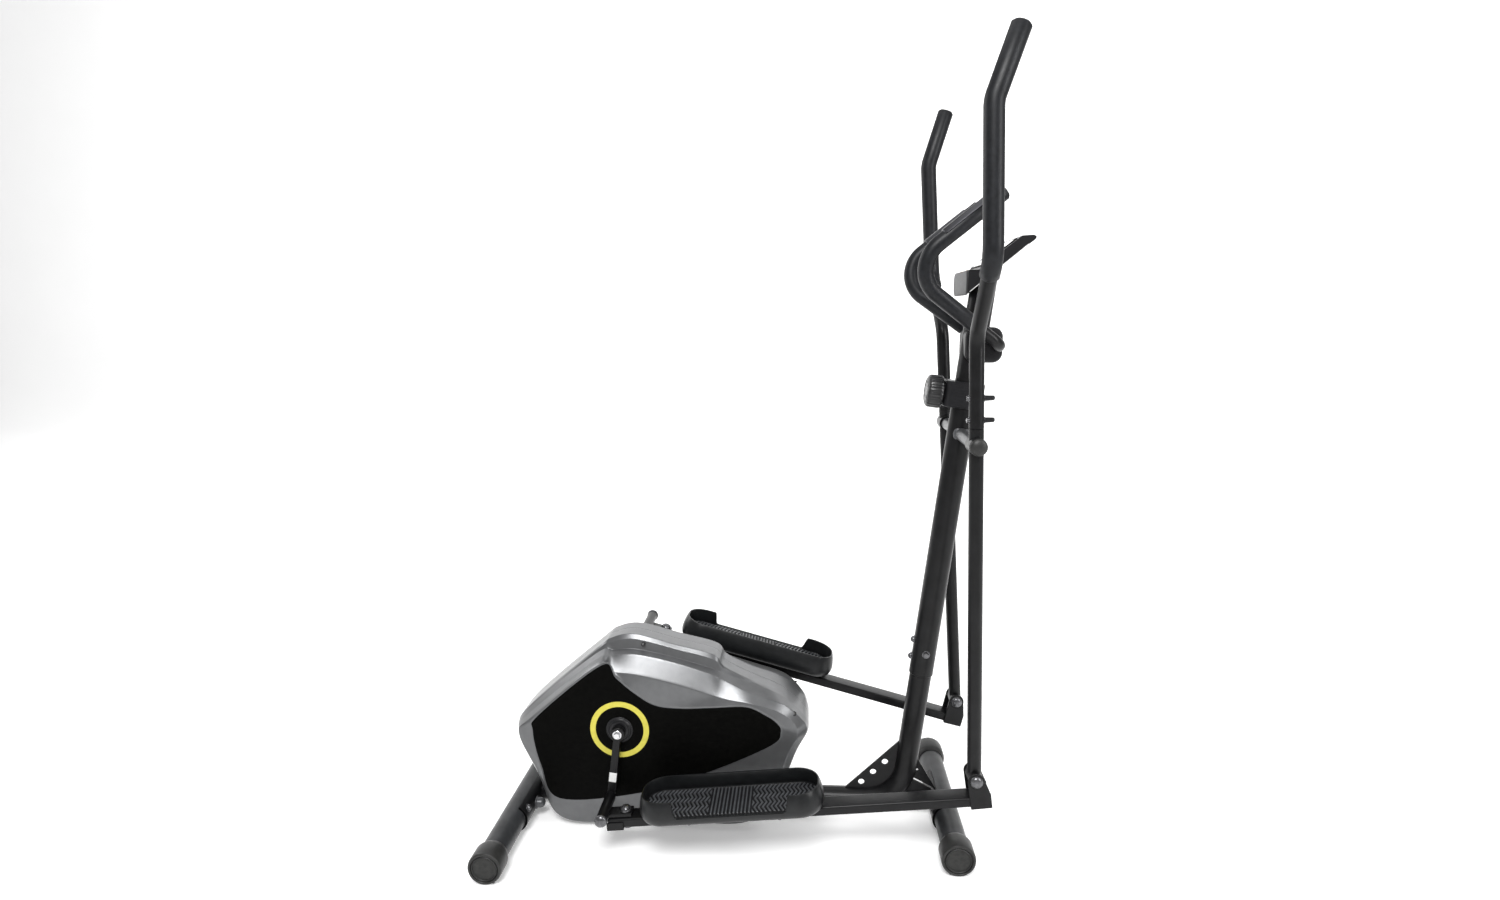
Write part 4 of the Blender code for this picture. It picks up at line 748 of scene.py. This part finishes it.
def shells():
    """Half shells through the lines above, from the seam out to the face, and back inside."""
    rim, top = smooth(HUMP_LINE, RIM_Y), smooth(HUMP_LINE, TOP_Y)
    step = smooth(STEP_LINE, STEP_Y)
    edge = [Vector((p.x, EDGE_Y, p.z)) for p in (a.lerp(b, 0.3) for a, b in zip(top, step))]
    crease = smooth(CREASE_LINE, CREASE_Y, CREASE_BULGE)
    facet = smooth(FACET_LINE, FACET_Y, FACET_BULGE)
    face = smooth(FACE_LINE, SIDE_Y)
    hole, wall = 0.0135, 0.0028
    levels = [rim, top, edge, step, crease, facet, face]
    outside = []
    for a, b in zip(levels, levels[1:]):
        outside.append(a)
        for t in (0.035, 0.5, 0.965):  # lines close to a fold keep it crisp when subdivided
            outside.append([p.lerp(q, t) for p, q in zip(a, b)])
    outside += [face, inset(face, 0.0012), hub_ring(face, hole + 0.001, SIDE_Y)]
    inside = [hub_ring(face, hole, SIDE_Y - 0.0008), hub_ring(face, hole, SIDE_Y - wall)]
    for line in (face, facet, crease, step):
        inside.append([p - Vector((0, wall, 0)) for p in inset(line, wall)])
    inside += [inset(top, wall, 0.0332), inset(rim, wall), inset(rim, 0.0004)]
    for name, side in SIDES.items():
        rings = [[(p.x, side * p.y, p.z) for p in line] for line in outside + inside]
        piece("cover_" + name, loft(rings, closed=True), SILVER, ["shell_" + name], subdivide=1,
              sharp=180)
        low, high, ease, past = SIDE_Y + 0.0003, SIDE_Y + 0.0023, 0.0005, 0.01
        border = inset(face, 0.004)
        plate = loft([[(p.x, side * y, p.z) for p in line] for line,
                      y in ((border, low), (border, high - ease), (inset(border, ease), high))])
        hub = [turned([(0, low - past), (hole, low - past), (hole, high + past), (0, high + past)],
                      (CRANK.x, 0, CRANK.z), (0, side, 0), 64)]
        piece("cover_panel_" + name, plate, PANEL, ["side_panel_" + name], sharp=15, cut=hub)
        ring = [(0.052, high + 0.0001), (0.0521, high + 0.0006), (0.0638, high + 0.0006),
                (0.0639, high + 0.0001)]
        piece("hub_print_" + name, turned(ring, (CRANK.x, 0, CRANK.z), (0, side, 0), 128), YELLOW,
              sharp=50)
        shell_screws(name, side)


def shell_screws(name, side):
    """Screws in dark recesses of the cover: two along its top and one at the rear."""
    up, rear = (0, side * 0.72, 0.62), (-0.75, side * 0.62, 0.1)
    for i, (x, y, z, axis) in enumerate(((-0.236, 0.0445, 0.409, up), (0.091, 0.0765, 0.272, up),
                                         (-0.503, 0.062, 0.222, rear))):
        well = [(0, -0.001), (0.003, -0.001), (0.0048, 0.0002), (0.0052, 0.0009), (0.0044, 0.0013),
                (0.003, 0.0004), (0, 0.0004)]
        piece(f"cover_screw_{name}_{i + 1}", turned(well, (x, side * y, z), axis, 32), GLOSS,
              sharp=50)


# ------------------------------ crank
def cranks():
    for name, side in SIDES.items():
        throw = crank_throw(side)
        pin = CRANK + throw * CRANK_THROW
        heading = degrees(atan2(throw.z, throw.x))
        hub, tip, half = 0.0155, 0.009, 0.0075
        neck = degrees(asin(half / hub))
        bar = arc((CRANK.x, CRANK.z), hub, heading + neck, heading + 360 - neck, 40)
        bar += arc((pin.x, pin.z), tip, heading - 90, heading + 90, 24)
        piece("crank_bar_" + name, slab(bar, side * CRANK_IN, side * CRANK_OUT), POWDER,
              ["crank_arm_" + name], body="crank", bevel=0.0018)
        cover = [(0.0125, 0.0981), (0.029, 0.0981), (0.029, 0.099), (0.0283, 0.0997), (
            0.0262, 0.0999), (0.0254, 0.1006), (0.024, 0.1024), (0.0222, 0.1029), (0.0214, 0.1022),
                 (0.0206, 0.1022), (0.0198, 0.1034), (0.014, 0.1045), (0.0125, 0.1045)]
        piece("hub_disc_" + name, turned(cover, (CRANK.x, 0, CRANK.z), (0, side, 0), 96), BLACK,
              ["hub_cover_" + name], sharp=25)
        at = CRANK + Vector((0, side * 0.1212, 0))
        bolt_head("crank_nut_" + name, at, (0, side, 0), 0.0072, 0.0064, body="crank", mat=STEEL,
                  flats=True)
    # Pale grey band round the right crank arm, part way down.
    rings = [[(x, y - 0.1145, z) for x, y in rounded(0.0166 - eased, 0.0156 - eased, 0.0024)]
             for eased, z in ((0.0008, 0.088), (0, 0.0884), (0, 0.1086), (0.0008, 0.109))]
    down = Matrix.Translation(CRANK) @ Matrix.Rotation(pi + CRANK_TILT, 4, "Y")
    piece("crank_pale_band", loft(rings), PALE_TRIM, body="crank", matrix=down, sharp=40)


# ------------------------------ arms
def along_arm(name):
    """Matrix with the swing pivot at the origin and local Z up the swing arm."""
    pivot, joint = joint_at(f"swing_{name}_turn"), joint_at(f"fork_pin_{name}_turn")
    return Matrix.Translation(
        pivot) @ Matrix.Rotation(atan2(pivot.x - joint.x, pivot.z - joint.z), 4, "Y")


def swing_arm(name, side):
    """Lower tube with its sleeves, upper handle with its foam, and their bolts."""
    here = along_arm(name)
    body = "swing_" + name
    low = -SWING_LENGTH
    tube = sweep([(0, 0, low + 0.008), (0, 0, -0.3), (0, 0, 0.032)], TUBE_R, 56, 0.0006)
    arm = merged(tube, turned(sleeve(0.0082, 0.017, -0.0215, 0.0215), (0, 0, 0)),
                 turned(sleeve(0.0063, 0.015, -0.019, 0.019), (0, 0, low)))
    piece("swing_tube_" + name, arm, POWDER, ["swing_arm_" + name], body=body, matrix=here)
    shoulder, neck = (0, side * 0.126, 0.335), (0, side * 0.122, 0.585)
    path = fillet([(0, 0, 0.0323), (0, 0, 0.205), shoulder, neck, (0.043, side * 0.119, 0.698)],
                  0.06, 20)
    piece("handle_tube_" + name, sweep(path, TUBE_R, 56, 0.0006), POWDER, ["handlebar_" + name],
          body=body, matrix=here)
    path = fillet([(0, side * 0.0969, 0.305), shoulder, neck, (0.044, side * 0.119, 0.7008)], 0.06,
                  20)
    piece("handle_grip_" + name, sweep(path, 0.0175, 56, 0.004), FOAM, ["handle_foam_" + name],
          body=body, matrix=here, sharp=60)
    for i, z in enumerate((0.048, 0.089)):
        head = turned([(0, -0.0005), (0.0064, -0.0005), (0.0064, 0.0012), (0.0052, 0.0016),
                       (0.005, 0.0042), (0.004, 0.0052), (0, 0.0054)], (-TUBE_R + 0.0007, 0, z),
                      (-1, 0, 0), 40)
        stud = turned([(0, -0.002), (0.0066, -0.002), (
            0.0068, 0.0008), (0.006, 0.0016), (0.0054, 0.002), (0.005, 0.011), (0.0048, 0.017)]
                      + dome(0.0046, 0.0175, 0.003, 6), (TUBE_R - 0.0007, 0, z), (1, 0, 0), 40)
        piece(f"handle_bolt_{name}_{i + 1}", head, DARK_STEEL, body=body, matrix=here)
        piece(f"handle_cap_nut_{name}_{i + 1}", stud, BLACK, body=body, matrix=here)
    cap = [(0, 0.0218), (0.015, 0.0218), (0.0163, 0.0224)] + dome(0.0166, 0.024, 0.008, 12)
    piece("pivot_dome_" + name, turned(cap, joint_at(f"swing_{name}_turn"), (0, side, 0), 72), CAP,
          ["pivot_cap_" + name], sharp=50)


def along_pedal(name, side):
    """Matrices of the arm and of its tube: lower joint at the origin, local X forward."""
    joint = joint_at(f"fork_pin_{name}_turn")
    pin = CRANK + crank_throw(side) * CRANK_THROW
    here = Matrix.Translation(
        joint) @ Matrix.Rotation(-atan2(joint.z - pin.z, joint.x - pin.x), 4, "Y")
    tilt = atan2(BAR_FRONT_DROP - BAR_REAR_DROP, PEDAL_LENGTH)
    return here, here @ Matrix.Translation((0, 0, -BAR_FRONT_DROP)) @ Matrix.Rotation(tilt, 4, "Y")


def pedal_arm(name, side):
    """Tube with its front fork, the sleeve on the crank pin, their bolts and the footplate."""
    here, bar = along_pedal(name, side)
    body = "pedal_" + name
    half_w, half_h, wall = BAR_WIDTH / 2, BAR_HEIGHT / 2, 0.002
    rear, front = -PEDAL_LENGTH + 0.006, 0.024
    bolt_x = -PEDAL_LENGTH + 0.042
    rings = []
    for x, shrink in ((rear, 0.0005), (rear + 0.0008, 0), (front - 0.0008, 0), (front, 0.0005),
                      (front, wall), (rear, wall)):
        outline = rounded(BAR_WIDTH - 2 * shrink, BAR_HEIGHT - 2 * shrink, 0.004 - shrink * 0.8, 6)
        rings.append([(x, y, z) for y, z in outline])
    piece("pedal_bar_" + name, loft(rings, closed=True), POWDER, ["pedal_arm_" + name], body=body,
          matrix=bar)
    ear_line = arc((0, 0), 0.017, 0, 180, 24) + [(-0.016, -0.059), (0.026, -0.059), (0.026, -0.03)]
    for ear, (low, high) in (("inner", (0.0196, 0.024)), ("outer", (-0.024, -0.0196))):
        piece(f"fork_ear_{ear}_{name}", slab(ear_line, low, high), POWDER, body=body, matrix=here,
              bevel=0.0012)
    piece("fork_base_" + name, block((-0.0155, -0.0225, -0.0588), (0.0255, 0.0225, -0.0568)),
          POWDER, body=body, matrix=here, bevel=0.0008)
    end = bolt_x - 0.004
    out_y, out_z, in_y, in_z = half_w + 0.003, -half_h - 0.003, half_w + 0.0001, -half_h - 0.0001
    brim = half_h - 0.006
    u_shape = [(-out_y, brim), (-out_y, out_z), (out_y, out_z), (out_y, brim), (in_y, brim),
               (in_y, in_z), (-in_y, in_z), (-in_y, brim)]
    shoe = loft([[(x, y, z) for y, z in u_shape] for x in (rear - 0.003, end)])
    piece("pedal_shoe_" + name, shoe, POWDER, body=body, matrix=bar, bevel=0.0008)

    pin_head = dome(0.013, 0.0243, 0.0085, 12)
    joint_pin = [(0, -0.0328)] + [(r, -y) for r, y in reversed(pin_head[:-1])]
    joint_pin += [(0.006, -0.0243), (0.006, 0.0243)] + pin_head
    piece("fork_bolt_head_" + name, turned(joint_pin, joint_at(f"fork_pin_{name}_turn"), (
        0, 1, 0), 56), DARK_STEEL, ["joint_pin_" + name], body="pin_" + name, sharp=50)

    at_pin = Vector((-PEDAL_LENGTH, 0, 0))
    near, far = -0.0465, 0.04
    tube = turned(sleeve(0.0063, 0.0115, near, far), at_pin, (0, side, 0), 56)
    piece("crank_sleeve_tube_" + name, tube, POWDER, ["crank_sleeve_" + name], body=body,
          matrix=here)
    lug_low = half_h + 0.0003
    lug = block((-PEDAL_LENGTH + 0.002, -0.015, lug_low), (bolt_x + 0.014, 0.015, lug_low + 0.008))
    web = block((-PEDAL_LENGTH - 0.005, -0.013, lug_low + 0.004),
                (-PEDAL_LENGTH + 0.01, 0.013, lug_low + 0.012))
    piece("sleeve_lug_" + name, merged(lug, web), POWDER, body=body, matrix=bar, bevel=0.002)
    bolt = [(0, near + 0.0002), (0.006, near + 0.0002), (0.006, far + 0.0003),
            (0.0128, far + 0.0003), (0.0135, far + 0.001)] + dome(0.0135, far + 0.002, 0.009, 14)
    piece("crank_bolt_" + name, turned(bolt, at_pin, (0, side, 0), 56), DARK_STEEL,
          ["crank_pin_" + name], body=body, matrix=here, sharp=50)
    top, bottom = lug_low + 0.0083, -half_h - 0.0033
    bolt = [(0, bottom - 0.005), (0.0085, bottom - 0.005), (0.009, bottom - 0.0042),
            (0.009, bottom), (0.005, bottom), (0.005, top), (0.0113, top), (0.0118, top + 0.0004)]
    bolt += dome(0.0118, top + 0.0012, 0.0098, 14)
    piece("lug_bolt_" + name, turned(bolt, (bolt_x, 0, 0), (0, 0, 1), 48), DARK_STEEL,
          ["fork_bolt_" + name], body=body, matrix=bar, sharp=50)
    footplate(name, side, half_h + 0.0003, bar)


TRAY_LENGTH, TRAY_WIDTH, TRAY_CORNER = 0.378, 0.116, 0.05
TRAY_X, TRAY_Y = -0.494, 0.013
TREAD_INSET = 0.0095


def footplate(name, side, base, matrix):
    """Tray with high ends and inner wall, and a ribbed tread let into it, its grooves painted darker as
    shade.
    """
    tread, skirt, belly = base + 0.023, base + 0.009, base + 0.0245
    high, low = base + 0.057, base + 0.026
    cut_rear, cut_front, blend = -0.617, -0.368, 0.016

    def wall(x, y):
        """1 where the wall is high, 0 where it dips along the outer side."""
        inside = min((x - cut_rear) / blend, (cut_front - x) / blend, y / 0.02)
        ease = min(max(inside, 0), 1)
        return 1 - ease * ease * (3 - 2 * ease)

    def ring(shrink, height, share=0, lean=0, drop=0):
        outline = rounded(TRAY_LENGTH - 2 * shrink, TRAY_WIDTH - 2 * shrink, TRAY_CORNER - shrink,
                          18)
        points = []
        for (x, y), (next_x, next_y) in zip(outline, outline[1:] + outline[:1]):
            steps = 84 if hypot(next_x - x, next_y - y) > 0.05 else 1
            for i in range(steps):
                px, py = x + (next_x - x) * i / steps, y + (next_y - y) * i / steps
                tall = wall(px + TRAY_X, py)
                rise = (low + (high - low) * tall - belly) * share - drop
                inward_x = 1 - lean * tall / (TRAY_LENGTH / 2 - shrink)
                inward_y = 1 - lean * tall / (TRAY_WIDTH / 2 - shrink)
                points.append((px * inward_x + TRAY_X, side * (py * inward_y + TRAY_Y),
                               height + rise))
        return points

    outside = ((0.04, base), (0.027, base), (0.0245, base + 0.0006), (0.0062, skirt - 0.0007), (
        0.0046, skirt + 0.0008), (0.002, base + 0.015), (0.0005, base + 0.0205), (0, belly))
    walls = ((0.2, 0.0004), (0.4, 0.0015), (0.7, 0.0038), (0.9, 0.006))
    brim = ((0, 0.0011), (0.0004, 0.0003), (0.0013, 0), (0.0024, 0), (0.0033, 0.0004),
            (0.0037, 0.0013))
    inside = ((0.0056, tread + 0.001), (0.0066, tread + 0.0007), (0.0085, tread + 0.0006),
              (0.0093, tread - 0.0006), (0.012, tread - 0.0012), (0.04, tread - 0.0012))
    tray = loft([ring(shrink, z) for shrink, z in outside] + [
        ring(0, belly, share, lean) for share, lean in walls]
                + [ring(shrink, belly, 1, 0.007, drop) for shrink, drop in brim]
                + [ring(shrink, z) for shrink, z in inside])
    body = "pedal_" + name
    piece("foot_tray_" + name, tray, TRAY, ["footplate_" + name], body=body, matrix=matrix,
          sharp=38)

    reach, width = TRAY_LENGTH / 2 - TREAD_INSET, TRAY_WIDTH / 2 - TREAD_INSET
    corner = TRAY_CORNER - TREAD_INSET
    columns, rows = 400, 96
    bm = bmesh.new()
    grid = []
    for i in range(columns + 1):
        x = -reach + 2 * reach * i / columns
        over = max(abs(x) - (reach - corner), 0)
        half = width - corner + sqrt(max(corner * corner - over * over, 1e-8))
        line = []
        for j in range(rows + 1):
            y = half * (2 * j / rows - 1)
            rim = min(half - abs(y), reach - abs(x))
            height = rib_height(x, y) * min(max((rim - 0.001) / 0.0015, 0), 1)
            line.append(bm.verts.new((x + TRAY_X, side * (y + TRAY_Y), tread - 0.0008 + height)))
        grid.append(line)
    for i in range(columns):
        for j in range(rows):
            quad = bm.faces.new((grid[i][j], grid[i + 1][j], grid[i + 1][j + 1], grid[i][j + 1]))
            # Faces low in the grooves take the darker second material: painted shade.
            quad.material_index = int(sum(v.co.z for v in quad.verts) / 4 < tread + 0.0012)
    loop = grid[0] + [line[-1] for line in grid[1:]] + grid[-1][:-1][::-1]
    loop += [line[0] for line in reversed(grid[1:-1])]
    under = [bm.verts.new((v.co.x, v.co.y, tread - 0.003)) for v in loop]
    for i in range(len(loop)):
        j = (i + 1) % len(loop)
        bm.faces.new((loop[i], under[i], under[j], loop[j]))
    bm.faces.new(under)
    insert = piece("foot_tread_" + name, bm, TREAD, body=body, matrix=matrix, sharp=50)
    insert.data.materials.append(PAINTED_GROOVE_SHADE)
    for i, x in enumerate((-0.588, -0.4)):
        for j, y in enumerate((-0.012, 0.012)):
            at = matrix @ Vector((x, y, -BAR_HEIGHT / 2 - 0.0002))
            down = matrix.to_3x3() @ Vector((0, 0, -1))
            bolt_head(f"tray_nut_{name}_{i + 1}{j + 1}", at, down, 0.0055, 0.005, body=body,
                      flats=True)


def rib_height(x, y):
    """Height of the tread's ribs: straight across the middle, zigzag towards both ends."""
    middle, gap, straight_pitch = 0.041, 0.0025, 0.0077
    rib, pitch, period, amplitude = 0.0034, 0.013, 0.031, 0.0074
    if abs(x) < middle:
        phase = x / straight_pitch
    elif abs(x) < middle + gap:
        return 0
    else:
        fold = abs(((y / period) % 1) - 0.5) * 2 - 0.5
        phase = (x + amplitude * fold) / pitch * 1.5
    wave = 0.5 + 0.5 * cos(2 * pi * phase)
    flank_start, flank = 0.3, 0.4  # share of the wave where a rib's side begins, and its extent
    return rib * min(max((wave - flank_start) / flank, 0), 1)


# ------------------------------ parts kept from the CAD
def inner_parts():
    looks = {"main_frame": POWDER, "crank_axle": STEEL, "drive_pulley": CAST, "flywheel": CAST,
             "drive_belt": RUBBER, "tension_cable": RUBBER, "belt_idler": BLACK,
             "flywheel_axle": STEEL, "crank_bearing_right": STEEL, "crank_bearing_left": STEEL,
             "brake_arm": DARK_STEEL, "brake_spring": STEEL}
    for name, mat in looks.items():
        node = frame["nodes"][name]
        node.data.materials.clear()
        node.data.materials.append(mat)


camera()
studio()
stabilisers()
main_frame_skin()
upper_mast()
fixed_handlebar()
tension_control()
console()
shells()
cranks()
for side_name, side_sign in SIDES.items():
    swing_arm(side_name, side_sign)
    pedal_arm(side_name, side_sign)
inner_parts()
